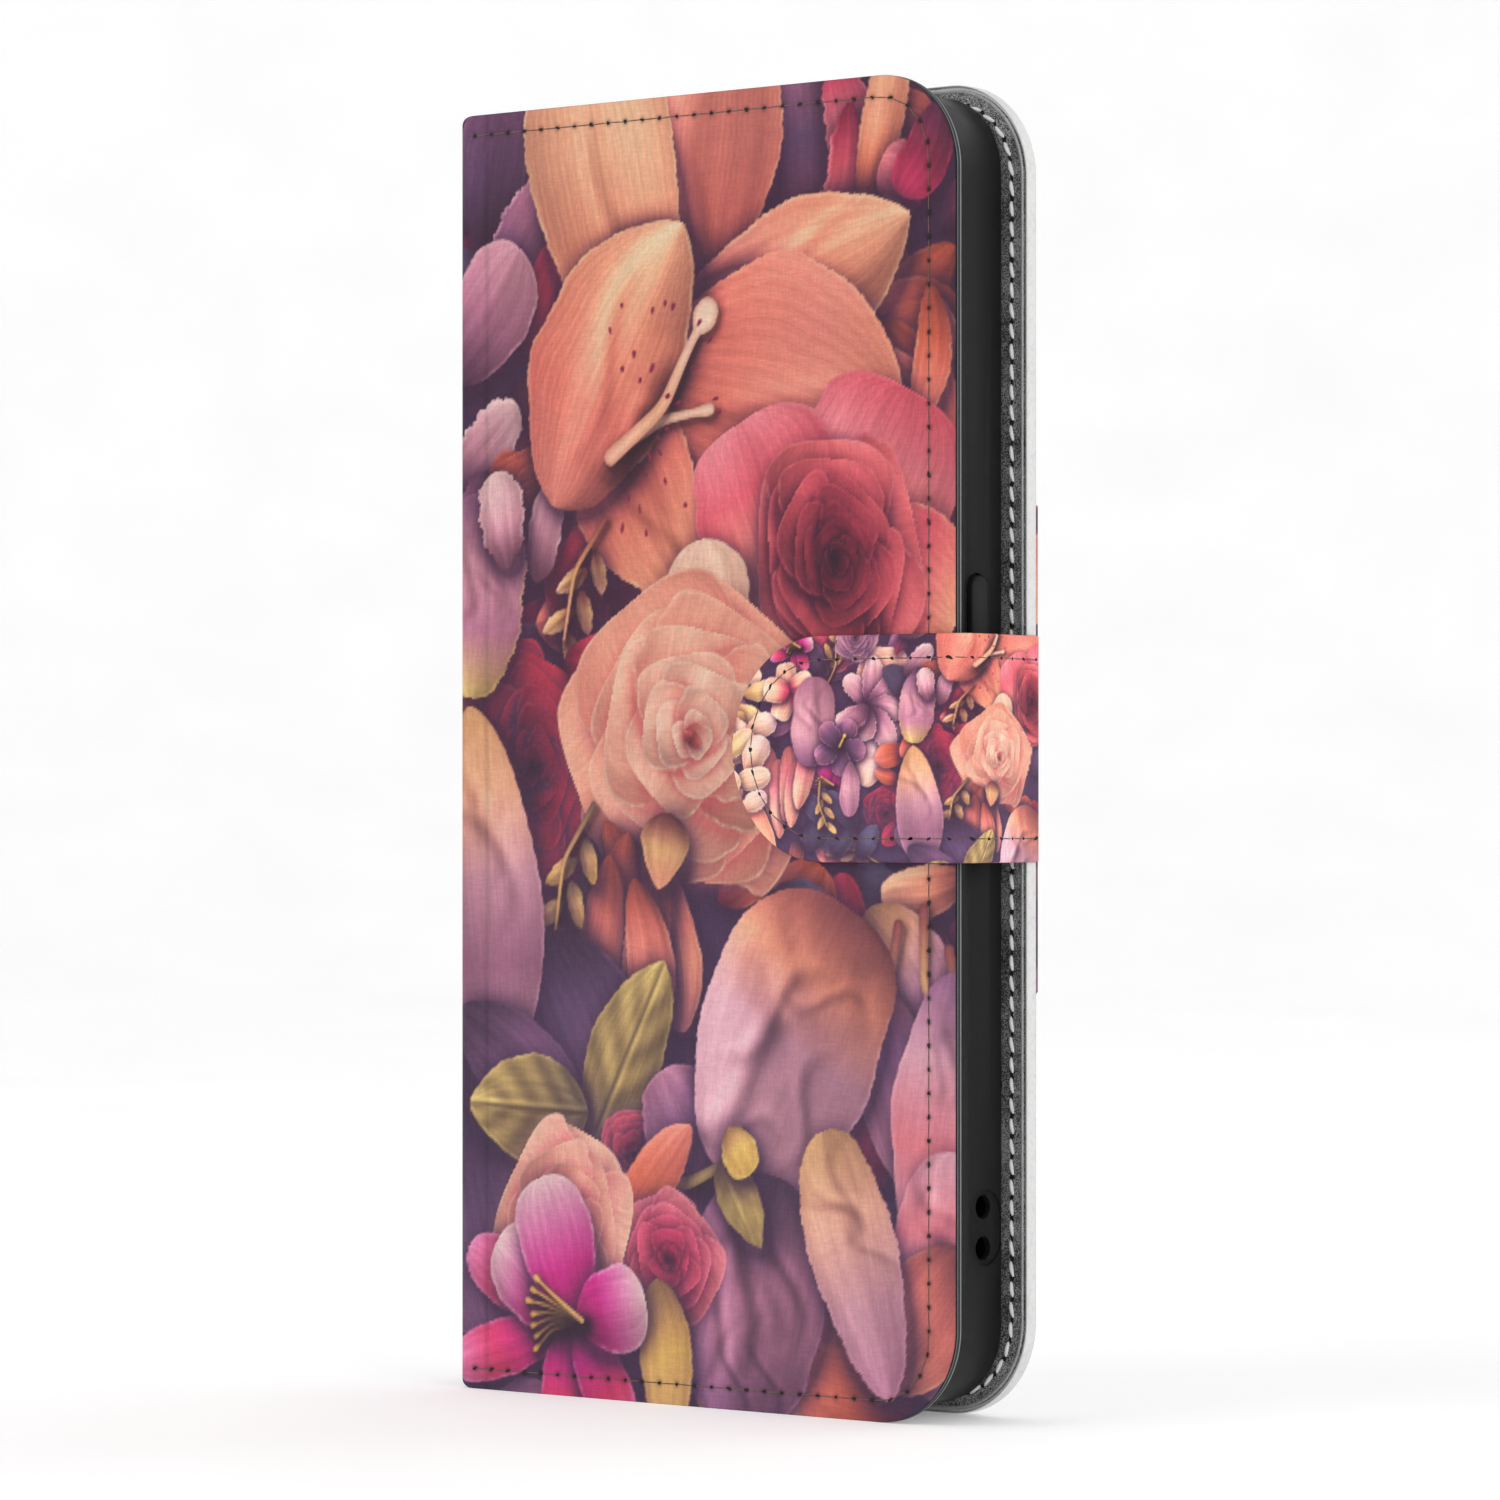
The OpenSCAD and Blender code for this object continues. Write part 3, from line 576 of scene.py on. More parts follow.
class Finish:
    """A procedural material. Sizes of its features are in millimetres."""

    def __init__(self, name, rough, **fixed):
        self.mat = bpy.data.materials.new(name)
        self.mat.use_nodes = True
        self.tree = self.mat.node_tree
        self.bsdf = self.tree.nodes["Principled BSDF"]
        self.bsdf.inputs["Roughness"].default_value = rough
        for key, value in fixed.items():
            self.bsdf.inputs[key.replace("_", " ")].default_value = value
        self.at = node(self.tree, "TexCoord").outputs["Object"]

    def math(self, how, a, b):
        """One step of arithmetic in the node tree."""
        return node(self.tree, "Math", {0: a, 1: b}, operation=how).outputs[0]

    def noise(self, size, detail=3., stretch=(1, 1, 1), at=None, rough=.55):
        """Noise with features of the given size, in mm, at a place of its own or at the object's."""
        v = node(self.tree, "Mapping", {"Vector": at or self.at, "Scale": stretch}).outputs[0]
        scale = 1. / size if at else 1000. / size
        sockets = {"Vector": v, "Scale": scale, "Detail": detail, "Roughness": rough}
        return node(self.tree, "TexNoise", sockets).outputs[0]

    def pebble(self, size):
        """Leather grain: rounded cells with valleys between them."""
        noise = node(self.tree, "TexNoise", {"Vector": self.at, "Scale": 700. / size, "Detail": 2.})
        wander, reach = noise.outputs["Color"], (size * .0009,) * 3
        v = node(self.tree, "VectorMath", {0: wander, 1: reach}, operation="MULTIPLY").outputs[0]
        v = node(self.tree, "VectorMath", {0: self.at, 1: v}, operation="ADD").outputs[0]
        far = node(self.tree, "TexVoronoi", {"Vector": v, "Scale": 1000. / size}).outputs["Distance"]
        return self.math("SUBTRACT", 1., self.math("MULTIPLY", far, far))

    def blend(self, factor, low, high, a, b):
        """A colour between a and b, as factor goes from low to high."""
        f = node(self.tree, "MapRange", {"Value": factor, "From Min": low, "From Max": high}).outputs[0]
        return node(self.tree, "Mix", {0: f, 6: (*a, 1), 7: (*b, 1)}, data_type="RGBA").outputs[2]

    def gain(self, value, low, high):
        """Stretches the middle half of a noise value to low and high."""
        return node(self.tree, "MapRange", {"Value": value, "From Min": .25, "From Max": .75, "To Min": low,
                                            "To Max": high}).outputs[0]

    def colour(self, socket):
        """Sets the surface's colour."""
        self.tree.links.new(socket, self.bsdf.inputs["Base Color"])

    def rough(self, value, low, high):
        """Varies the roughness with a noise value."""
        self.tree.links.new(self.gain(value, low, high), self.bsdf.inputs["Roughness"])

    def bump(self, *layers):
        """Each layer is a height from 0 to 1 and its depth in mm."""
        normal = None
        for height, depth in layers:
            sockets = {"Height": height, "Distance": depth / 1000, "Strength": 1.}
            if normal:
                sockets["Normal"] = normal
            normal = node(self.tree, "Bump", sockets).outputs[0]
        self.tree.links.new(normal, self.bsdf.inputs["Normal"])


PRINT_DEPTH = .88         # share of the print's colours that shows in this bright studio


def print_finish():
    """Printed imitation leather: the flowers' own colours, with petal veins, cloth weave and a fine grain."""
    f = Finish("printed_leather", .5, Specular_IOR_Level=.13)
    art = node(f.tree, "Attribute", attribute_name="art").outputs["Color"]
    grain = node(f.tree, "Attribute", attribute_name="grain").outputs["Vector"]
    veins = f.noise(1., 2., (.1, 1.7, 1.), at=grain)
    threads = f.math("MULTIPLY", f.noise(.42, 1., (.25, 1., 1.6)), f.noise(.42, 1., (1.6, 1., .25)))
    mottle = f.noise(3.5, 4.)
    speck = f.noise(.16, 2.)
    total = f.math("MULTIPLY", f.gain(veins, .93, 1.07), f.gain(mottle, .95, 1.05))
    total = f.math("MULTIPLY", total, f.gain(speck, .95, 1.05))
    weave = {"Value": threads, "From Min": .15, "From Max": .4, "To Min": .93, "To Max": 1.06}
    total = f.math("MULTIPLY", total, node(f.tree, "MapRange", weave).outputs[0])
    total = f.math("MULTIPLY", total, PRINT_DEPTH)
    f.colour(node(f.tree, "VectorMath", {0: art, "Scale": total}, operation="SCALE").outputs[0])
    f.rough(mottle, .5, .64)
    f.bump((f.pebble(.55), .035), (speck, .012))
    return f.mat


def leather(name, low, high, size, depth, rough, **fixed):
    """Imitation leather with a pebbled grain and slight wear."""
    f = Finish(name, rough, **fixed)
    wear, cells = f.noise(6., 4.), f.pebble(size)
    shade = f.math("ADD", f.math("MULTIPLY", wear, .5), f.math("MULTIPLY", cells, .5))
    f.colour(f.blend(shade, .3, .75, low, high))
    f.rough(wear, rough - .07, rough + .08)
    f.bump((cells, depth), (f.noise(size * .3, 3.), depth * .35))
    return f.mat


def lining(name, low, high):
    """Dark lining with a fine grain, as of pepper and salt: its pale specks are partly its silvery grain and
    partly painted glints of its sheen.
    """
    f = Finish(name, .34, Specular_IOR_Level=.6)
    grain, cloud = f.noise(.17, 3.), f.noise(5., 4.)
    grain = f.math("ADD", grain, f.math("MULTIPLY", f.math("SUBTRACT", cloud, .5), .3))
    f.colour(f.blend(grain, .42, .66, low, high))
    f.bump((f.pebble(.42), .07), (grain, .05))
    return f.mat


def moulded(name, low, high, rough):
    """Satin moulded plastic, with a very fine spark-eroded grain and faint flow marks."""
    f = Finish(name, rough, Specular_IOR_Level=.16)
    flow, fine = f.noise(9., 3., (1, 1, .25)), f.noise(.09, 2.)
    f.colour(f.blend(flow, .3, .7, low, high))
    f.rough(f.noise(2.5, 4.), rough - .06, rough + .07)
    f.bump((fine, .006), (flow, .03))
    return f.mat


def thread(name, low, high):
    """Sewing thread, with the shade of its strands."""
    f = Finish(name, .6, Specular_IOR_Level=.3, Sheen_Weight=.25)
    strands = f.noise(.12, 3., (1, 1, 1.6))
    f.colour(f.blend(strands, .3, .7, low, high))
    f.bump((strands, .05))
    return f.mat


def plain(name, low, high, size, rough, depth, metallic=0., stretch=(1, 1, 1)):
    """A surface with a fine grit in its colour, its gloss and its relief."""
    f = Finish(name, rough, Metallic=metallic)
    grit = f.noise(size, 5., stretch)
    f.colour(f.blend(grit, .3, .7, low, high))
    f.rough(grit, rough - .06, rough + .08)
    f.bump((grit, depth))
    return f.mat


PRINT = print_finish()
WHITE = leather("white_leather", (.64, .635, .63), (.72, .715, .71), .6, .04, .42, Specular_IOR_Level=.3)
GREY = lining("grey_lining", (.02, .02, .021), (.46, .46, .465))
# A darker grey for the back leather's rounded bend: painted shade
RIM_SHADE = leather("white_leather_edge_shade", (.4, .395, .39), (.5, .495, .49), .6, .04, .42, Specular_IOR_Level=.3)
# A paler grey for the back lining's rolled edge: painted sheen
LINING_EDGE_SHEEN = plain("lining_edge_sheen", (.3, .3, .31), (.45, .45, .46), .4, .35, .02)
POCKET = leather("pocket_lining", (.03, .03, .032), (.13, .132, .135), .5, .1, .36, Specular_IOR_Level=.5)
BLACK = moulded("black_shell", (.0095, .0095, .01), (.0125, .0125, .013), .4)
KEYS = moulded("black_keys", (.011, .011, .0115), (.015, .015, .0155), .38)
WHITE_THREAD = thread("white_thread", (.62, .62, .6), (.95, .95, .93))
BROWN_THREAD = thread("brown_thread", (.06, .028, .022), (.2, .11, .08))
DARK_THREAD = thread("dark_thread", (.02, .02, .021), (.08, .08, .082))
# Dark discs at the needle holes: painted shade in the holes
HOLE_SHADE = plain("needle_hole_shade", (.004, .003, .003), (.01, .008, .008), .2, .8, .01)
BOARD = plain("board", (.3, .24, .17), (.46, .38, .28), .5, .85, .05, stretch=(1, 1, .3))
PAD = plain("adhesive_pad", (.6, .6, .56), (.7, .7, .66), 1., .5, .02)
STEEL = plain("steel", (.42, .42, .43), (.58, .58, .59), .3, .3, .01, 1., (1, 1, .05))
MAGNET = plain("magnet", (.5, .5, .51), (.62, .62, .63), .4, .24, .01, 1.)


# ---------------------------------------------------------------- pieces

def linear(rgb):
    """Screen colours as scene-linear ones."""
    rgb = np.clip(rgb, 0, 1)
    return np.where(rgb < .04045, rgb / 12.92, ((rgb + .055) / 1.055) ** 2.4)


def piece(name, verts, faces, mats, body=None, slot=None, stands_for=(), which=None, sharp=40., closed=False):
    """A mesh object from points in mm. which gives each face's material and body the CAD body it rides on."""
    me = bpy.data.meshes.new(name)
    me.from_pydata(place(verts).tolist(), [], [list(f) for f in faces])
    for m in mats:
        me.materials.append(m)
    if which is not None:
        me.polygons.foreach_set("material_index", np.asarray(which, np.int32))
    if closed:
        face_out(me)
    me.shade_smooth()
    me.set_sharp_from_angle(angle=math.radians(sharp))
    me.update()
    ob = bpy.data.objects.new(name, me)
    bpy.context.scene.collection.objects.link(ob)
    if body:
        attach(ob, body)
    if stands_for:
        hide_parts(*stands_for)
    return ob


def store_print(ob, rgb, grain):
    """Keeps the print's colours and petal directions on the mesh, for its material."""
    me = ob.data
    colour = np.ones((len(me.vertices), 4))
    colour[:, :3] = linear(rgb)
    me.color_attributes.new("art", "FLOAT_COLOR", "POINT").data.foreach_set("color", colour.ravel())
    me.attributes.new("grain", "FLOAT_VECTOR", "POINT").data.foreach_set("vector", np.asarray(grain).ravel())


def rounded(x0, x1, z0, z1, ra, rb, n=18):
    """A closed outline in x and z, with corners of radius ra at x0 and rb at x1."""
    pts = []
    for cx, cz, r, a in ((x1 - rb, z0 + rb, rb, -90), (x1 - rb, z1 - rb, rb, 0), (x0 + ra, z1 - ra, ra, 90),
                         (x0 + ra, z0 + ra, ra, 180)):
        for i in range(n + 1):
            t = math.radians(a + 90 * i / n)
            pts.append((cx + r * math.cos(t), cz + r * math.sin(t)))
    return np.array(pts)


def strip(first, count):
    """Faces between two closed loops of count points that start at first and first + count."""
    after = [(i + 1) % count for i in range(count)]
    return [(first + i, first + j, first + count + j, first + count + i) for i, j in enumerate(after)]


def face_out(me):
    """Turns the faces of a closed mesh outwards."""
    bm = bmesh.new()
    bm.from_mesh(me)
    bmesh.ops.recalc_face_normals(bm, faces=bm.faces)
    bm.to_mesh(me)
    bm.free()


def plate(name, outline, profile, mats, window=None, trim=(), **how):
    """A closed plate. outline(inset) is its outline, and profile the (inset, y) pairs from one face round to
    the other. window(outset) is the outline of a hole through both faces, whose edges are chamfered. The
    profile's steps in trim get the second material."""
    loops = [np.insert(outline(inset), 1, y, axis=1) for inset, y in profile]
    count = len(loops[0])
    verts, faces = list(loops), []
    for i in range(len(loops) - 1):
        faces += strip(i * count, count)
    base = len(loops) * count
    ends, rings = [(0, loops[0]), (base - count, loops[-1])], []
    if window is not None:
        y0, y1 = profile[0][1], profile[-1][1]
        c = .22
        s = c if y1 > y0 else -c
        steps = ((c, y0), (0, y0 + s), (0, y1 - s), (c, y1))
        inner = [np.insert(window(outset), 1, y, axis=1) for outset, y in steps]
        m = len(inner[0])
        verts += inner
        for i in range(3):
            faces += strip(base + i * m, m)
        rings = [(base, inner[0]), (base + 3 * m, inner[-1])]
    for k, (start, loop) in enumerate(ends):
        polys = [[tuple(p) for p in loop]]
        index = list(range(start, start + count))
        if rings:
            polys.append([tuple(p) for p in rings[k][1]])
            index += range(rings[k][0], rings[k][0] + m)
        faces += [tuple(index[t] for t in tri) for tri in tessellate_polygon(polys)]
    which = [1 if i < (len(loops) - 1) * count and i // count in trim else 0 for i in range(len(faces))]
    return piece(name, np.concatenate(verts), faces, mats, which=which, closed=True, **how)


def drop(s):
    """How far the covers' ends fall away at s mm from the spine's corner."""
    return SPINE_R - math.sqrt(max(SPINE_R ** 2 - (SPINE_R - s) ** 2, 0)) if s < SPINE_R else 0.


def band(name, path, depth, lo, hi, art_at, mats, edge=.3, inner=6, bright=1., step=GRID, soft=.13, **how):
    """A strip that follows path, a list of (x, y) on its outer face, between the heights lo and hi.
    depth is its thickness at each point. art_at(i, z) gives the point of the print at each place. edge is
    the radius of its long edges and inner the count of rows on its inner face."""
    path = np.asarray(path, float)
    way = np.gradient(path, axis=0)
    way /= np.hypot(*way.T)[:, None]
    out = np.stack([way[:, 1], -way[:, 0]], -1)
    rows = max(8, int(max(h - b for h, b in zip(hi, lo)) / step))
    verts, art = [], []
    turns = [math.radians(a) for a in (30, 60, 90)]
    for i in range(len(path)):
        mid, half = (lo[i] + hi[i]) / 2, (hi[i] - lo[i]) / 2
        e = min(edge, half * .4, depth[i] * .45)
        loop = [(0., mid + (half - e) * t) for t in np.linspace(-1, 1, rows)]
        loop += [(e * (1 - math.cos(a)), mid + half - e + e * math.sin(a)) for a in turns]
        loop += [(depth[i] - e * .6, mid + half), (depth[i], mid + half - e * .6)]
        loop += [(depth[i], mid + (half - e) * t) for t in np.linspace(1, -1, inner)[1:-1]]
        loop += [(depth[i], mid - half + e * .6), (depth[i] - e * .6, mid - half)]
        loop += [(e * (1 - math.cos(a)), mid - half + e - e * math.sin(a)) for a in turns[::-1]]
        for d, z in loop:
            x, y = path[i] - out[i] * d
            verts.append((x, y, z))
            art.append(art_at(i, z))
    n = len(loop)
    faces, which = [], []
    for i in range(len(path) - 1):
        ring = strip(i * n, n)
        faces += ring
        which += [0 if k < rows + 2 or k >= n - 4 else 1 for k in range(n)]
    faces += [tuple(range(n))[::-1], tuple(range((len(path) - 1) * n, len(path) * n))]
    which += [1, 1]
    ob = piece(name, np.array(verts), faces, mats, which=which, **how)
    if mats[0] is PRINT:
        rgb, grain = collage(np.array(art), soft)
        store_print(ob, rgb * bright, grain)
    return ob


def arc(cx, cy, r, a0, a1, n):
    """Points in n steps along a round stretch about (cx, cy), from a0 to a1 degrees."""
    turns = [math.radians(a0 + (a1 - a0) * i / n) for i in range(n + 1)]
    return [(cx + r * math.cos(t), cy + r * math.sin(t)) for t in turns]


def line(x0, y0, x1, y1, n):
    """Points in n steps along a straight stretch."""
    return [(x0 + (x1 - x0) * i / n, y0 + (y1 - y0) * i / n) for i in range(n + 1)]


def lengths(path):
    """How far each point of a path is from its start, along the path."""
    p = np.asarray(path, float)
    return np.concatenate([[0], np.cumsum(np.hypot(*np.diff(p, axis=0).T))])


# ---------------------------------------------------------------- seams

def seam_points(ends, side, x0=0., step=2.95):
    """Needle holes round a cover's free edges: (x, z) and the seam's direction, at even steps."""
    r = OPEN_R - max(ends, side)
    path = [(x0, ends)] + arc(CASE_W - side - r, ends + r, r, -90, 0, 24) \
        + arc(CASE_W - side - r, CASE_H - ends - r, r, 0, 90, 24) + [(x0, CASE_H - ends)]
    s = lengths(path)
    n = round(s[-1] / step)
    at = np.linspace(0, s[-1], n + 1)[0 if x0 else 1:]
    return np.stack([np.interp(at, s, np.array(path)[:, k]) for k in (0, 1)], -1)


def sew(name, holes, out, mats, wide, high, hole_r, gap=.35, jog=0., **how):
    """Stitches between needle holes, which are points in mm. out is the surface's outward direction, at all
    of them or at each. gap is the length without thread beside a hole, and jog tilts every stitch."""
    verts, faces, which = [], [], []
    rng = random.Random(len(holes))
    holes = np.asarray(holes, float)
    out = np.broadcast_to(np.asarray(out, float), holes.shape)
    for i in range(len(holes)):
        o = out[i]
        to = holes[min(i + 1, len(holes) - 1)] - holes[max(i - 1, 0)]
        to /= np.linalg.norm(to)
        across = np.cross(o, to)
        size, long, tilt = rng.uniform(.8, 1.2), rng.uniform(1., 1.7), rng.uniform(-.45, .45)
        # A dark disc at each needle hole: painted shade in the hole
        first = len(verts)
        for k in range(12):
            a = TAU * k / 12
            r = hole_r * size * (1 + .16 * math.cos(3 * a + i))
            c, s = math.cos(a) * long, math.sin(a) / long
            verts.append(holes[i] + o * .02 + (to * (c + s * tilt) + across * (s - c * tilt)) * r)
        faces.append(tuple(range(first, first + 12)))
        which.append(1)
    for i in range(len(holes) - 1):
        a, b = holes[i], holes[i + 1]
        to = b - a
        span = np.linalg.norm(to)
        if span > 4.5:
            continue
        to /= span
        lean = rng.uniform(-1, 1) * .05 + jog
        bow = span / 2 * math.tan(math.acos(max(-1, min(1, float(out[i] @ out[i + 1])))) / 4)
        rings, sides = 9, 8
        first = len(verts)
        for j in range(rings):
            t = j / (rings - 1)
            o = out[i] * (1 - t) + out[i + 1] * t
            across = np.cross(o, to)
            f = math.sin(math.pi * (.06 + .88 * t)) ** .45
            centre = a + to * (gap + (span - 2 * gap) * t) + across * lean * (t - .5) * 2
            for k in range(sides):
                q = TAU * k / sides
                up = math.sin(q) * high * f + high * .3 - high * .9 * (1 - f) + bow * 4 * t * (1 - t)
                verts.append(centre + across * math.cos(q) * wide / 2 * f + o * up)
        for j in range(rings - 1):
            faces += strip(first + j * sides, sides)
            which += [0] * sides
        last = first + (rings - 1) * sides
        faces += [tuple(range(first, first + sides))[::-1], tuple(range(last, last + sides))]
        which += [0, 0]
    return piece(name, np.array(verts), faces, mats, which=which, sharp=70., **how)


# ---------------------------------------------------------------- front cover

FRONT_SEAM = seam_points(2.7, 4.2)


def front_cover():
    """The printed leather of the front cover, with its turned edge painted dark and pale lines painted on it
    as highlights.
    """
    e, r = .12, OPEN_R
    corner = np.radians(np.linspace(0, 90, int(20 / GRID * .8)))
    side = np.linspace(0, 1, int((CASE_H - 2 * r) / GRID))[1:-1]
    low = [(CASE_W - r + r * math.sin(a), r - r * math.cos(a), math.sin(a), -math.cos(a)) for a in corner]
    high = [(x, CASE_H - z, nx, -nz) for x, z, nx, nz in low[::-1]]
    rim = np.array(low + [(CASE_W, r + t * (CASE_H - 2 * r), 1., 0.) for t in side] + high)
    cols = int((CASE_W - FOLD) / GRID)
    face = rim[:, :2] - rim[:, 2:] * e
    u = np.linspace(0, 1, cols)
    grid = np.stack([FOLD + (face[:, :1] - FOLD) * u, np.repeat(face[:, 1:], cols, 1)], -1)
    ns = len(rim)
    y = np.zeros(ns * cols)
    flat = grid.reshape(-1, 2)
    # The leather dips a little along its seam and at each needle hole, and the print is darkened at each hole
    # as painted shade in the dip
    dips = Canvas(flat, np.zeros((len(flat), 1)), None)
    shade = np.ones(len(flat))
    for x, z in FRONT_SEAM:
        pick, d = dips.near(x, z, 3.2)
        far = np.hypot(*d.T)
        y[pick] += .03 * np.exp(-(far / 1.3) ** 2) + .05 * np.exp(-(far / .4) ** 2)
        shade[pick] *= 1 - .35 * np.exp(-(far / .42) ** 2)
    # A faint crease beside the spine, from opening and closing, with the print darkened along it as painted
    # shade in the crease
    crease = np.exp(-((flat[:, 0] - 5.1) / .45) ** 2)
    y += .05 * crease
    shade *= 1 - .1 * crease
    verts = np.stack([flat[:, 0], y, flat[:, 1]], -1)
    quads = [(i * cols + j, i * cols + j + 1, (i + 1) * cols + j + 1, (i + 1) * cols + j)
             for i in range(ns - 1) for j in range(cols - 1)]
    rgb, grain = collage(np.stack([flat[:, 0], CASE_H - flat[:, 1]], -1))
    rgb = rgb * shade[:, None]
    # The edge: bottom row, opening side, top row
    along = [(j, 0) for j in range(cols)] + [(cols - 1, i) for i in range(1, ns)] \
        + [(j, ns - 1) for j in range(cols - 2, -1, -1)]
    base = np.array([(rim[i, 0] if j == cols - 1 else grid[i, j, 0], rim[i, 1]) for j, i in along])
    out = np.array([rim[i, 2:] if j == cols - 1 else (0, -1. if i == 0 else 1.) for j, i in along])
    # Each step's inset, depth and paint, where None goes on with the print
    steps = [(e * (1 - math.sin(a)), e * (1 - math.cos(a)), None) for a in map(math.radians, (22, 45, 68))]
    # The pale lines on the dark edge paint are painted highlights along the edge
    ink, highlight_1, slate, highlight_2 = (.03, .03, .03), (.42, .44, .45), (.2, .22, .23), (.56, .57, .57)
    steps += [(0, e, ink), (0, .38, ink), (0, .42, highlight_1), (0, .56, highlight_1), (0, .6, slate), (0, .98, slate),
              (0, 1.02, highlight_2), (.02, 1.2, highlight_2), (.03, 1.24, ink), (.08, 1.38, ink), (.4, 1.4, ink)]
    n, total = len(along), len(flat)
    start = np.array([i * cols + j for j, i in along])
    edge_verts, edge_rgb, edge_grain = [], [], []
    for inset, depth, paint in steps:
        p = base - out * inset
        edge_verts.append(np.stack([p[:, 0], np.full(n, depth), p[:, 1]], -1))
        if paint is None:
            shown, way = collage(np.stack([p[:, 0], CASE_H - p[:, 1]], -1))
            # The print on the edge's turn is made a little darker: painted shade of the rounding
            edge_rgb.append(shown * .93)
            edge_grain.append(way)
        else:
            edge_rgb.append(np.tile(paint, (n, 1)))
            edge_grain.append(np.zeros((n, 3)))
    for k in range(len(steps)):
        first = start if k == 0 else total + (k - 1) * n + np.arange(n)
        second = total + k * n + np.arange(n)
        quads += [(first[i], second[i], second[i + 1], first[i + 1]) for i in range(n - 1)]
    ob = piece("front_cover_leather", np.concatenate([verts] + edge_verts), quads, [PRINT], "front_cover",
               "printed_leather", ("front_skin", "front_board"), sharp=80.)
    store_print(ob, np.concatenate([rgb] + edge_rgb), np.concatenate([grain] + edge_grain))
    holes = np.array([(x, .0, z) for x, z in FRONT_SEAM if x > FOLD])
    sew("front_cover_seam", holes, FRONTWARDS, [BROWN_THREAD, HOLE_SHADE], .15, .06, .25,
        body="front_cover", slot="brown_thread", stands_for=("front_stitching",))


def cover_outline(inset):
    """The outline of a cover's layer, whose spine side stays at its fold."""
    return rounded(FOLD, CASE_W - inset, inset, CASE_H - inset, .2, OPEN_R - inset)


def window_outline(grow=0.):
    """The outline of the camera window, wider by grow all round."""
    x0, x1, z0, z1, r = WINDOW

    def outline(outset):
        g = outset + grow
        return rounded(x0 - g, x1 + g, z0 - g, z1 + g, r + g, r + g)
    return outline


def rounding(r, from_y, to_y, base=0., steps=5):
    """Profile points round an edge of radius r, from the plate's side, near from_y, to its face at to_y."""
    s = 1 if to_y > from_y else -1
    return [(base + r * (1 - math.cos(a)), to_y - s * r * (1 - math.sin(a)))
            for a in np.linspace(0, math.pi / 2, steps)]


def linings():
    """The grey linings of both covers and the spine, and the pockets' seams."""
    front = rounding(.15, 1.3, 1.1, steps=3)[::-1] + rounding(.14, 1.36, FRONT_T)
    front = [(.2 + inset, y) for inset, y in front]
    plate("front_cover_lining", cover_outline, front, [GREY], body="front_cover", slot="grey_lining",
          stands_for=("front_liner",))
    # The back lining's edge is a small roll whose steps get a paler grey, a painted sheen along it
    back = [(1.1, LINING_Y), (.96, LINING_Y - .01), (.84, LINING_Y - .09), (.7, LINING_Y - .08),
            (.6, LINING_Y + .05), (.55, 14.8)]
    plate("back_cover_lining", cover_outline, back, [GREY, LINING_EDGE_SHEEN], trim=(1, 2, 3),
          window=window_outline(.15), body="back_cover", slot="grey_lining", stands_for=("back_liner",))


def inner_seams():
    """The seams on the inside of the front cover: its edge, the note pocket and the card pockets."""
    holes = np.array([(x, FRONT_T, z) for x, z in FRONT_SEAM if x > FOLD])
    sew("front_lining_seam", holes, BACKWARDS, [DARK_THREAD, HOLE_SHADE], .26, .12, .26, gap=.3,
        body="front_cover", slot="brown_thread")

    def level(x, z):
        """How far the stacked pockets reach at (x, z)."""
        over = sum(x > left and 38 < z < 130 for left in (14, 22, 30))
        return FRONT_T + .4 * (over + 1)
    for name, row in (("note_pocket_seam", [(8.4, 6.4), (77.6, 6.4), (77.6, 161.6), (8.4, 161.6)]),
                      ("card_pocket_seam", [(15.2, 39.4), (76.2, 39.4)]),
                      ("card_pocket_seam_upper", [(15.2, 128.6), (76.2, 128.6)])):
        s = lengths(row)
        at = np.arange(0, s[-1], 2.6)
        points = np.stack([np.interp(at, s, np.array(row)[:, k]) for k in (0, 1)], -1)
        holes = np.array([(x, level(x, z), z) for x, z in points])
        sew(name, holes, BACKWARDS, [DARK_THREAD, HOLE_SHADE], .26, .12, .24, gap=.3, body="front_cover",
            slot="brown_thread")


def back_cover():
    """The white leather of the back cover, wrapped round its board, with the camera window."""
    # From under the lining, over the turned edge and round to the back. The bend's middle steps get a darker
    # grey, a painted shade of the rounding
    edge = [(.9, 14.85), (.26, 14.85), (.2, 14.55), (.1, 14.42), (.0, 14.5)]
    profile = edge + rounding(.55, 15.8, CASE_T, steps=8)
    plate("back_cover_leather", cover_outline, profile, [WHITE, RIM_SHADE], trim=(6, 7, 8, 9),
          window=window_outline(), body="back_cover", slot="white_leather",
          stands_for=("back_skin", "back_board"))
    seam = seam_points(2.4, 2.4, x0=FOLD + .6, step=2.55)
    holes = np.array([(x, LINING_Y, z) for x, z in seam])
    sew("back_cover_seam", holes, FRONTWARDS, [WHITE_THREAD, HOLE_SHADE], .55, .3, .36, gap=.3,
        jog=.16, body="back_cover", slot="white_thread", stands_for=("back_stitching",))


def fold(name, path, depth, a, b, ends, art_x):
    """Printed leather shaped round a fold beside the spine, and left in the shared frame. ends says how far
    it falls away, and a and b are not used.
    """
    s = lengths(path)
    ob = band(name, path, [depth] * len(path), ends, [CASE_H - d for d in ends],
              lambda i, z: (art_x + s[i], CASE_H - z), [PRINT, GREY], edge=.2, slot="printed_leather")
    place((*path[0], MIDDLE))
    place((*path[-1], MIDDLE))
    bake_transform(ob)


def spine_lining(name, path, depth=.45, **how):
    """A strip of lining along path, on the spine's inside."""
    inset, n = .3, len(path)
    ob = band(name, path, [depth] * n, [inset] * n, [CASE_H - inset] * n, lambda i, z: (0, 0), [GREY, GREY],
              edge=.15, slot="grey_lining", **how)
    return ob, path


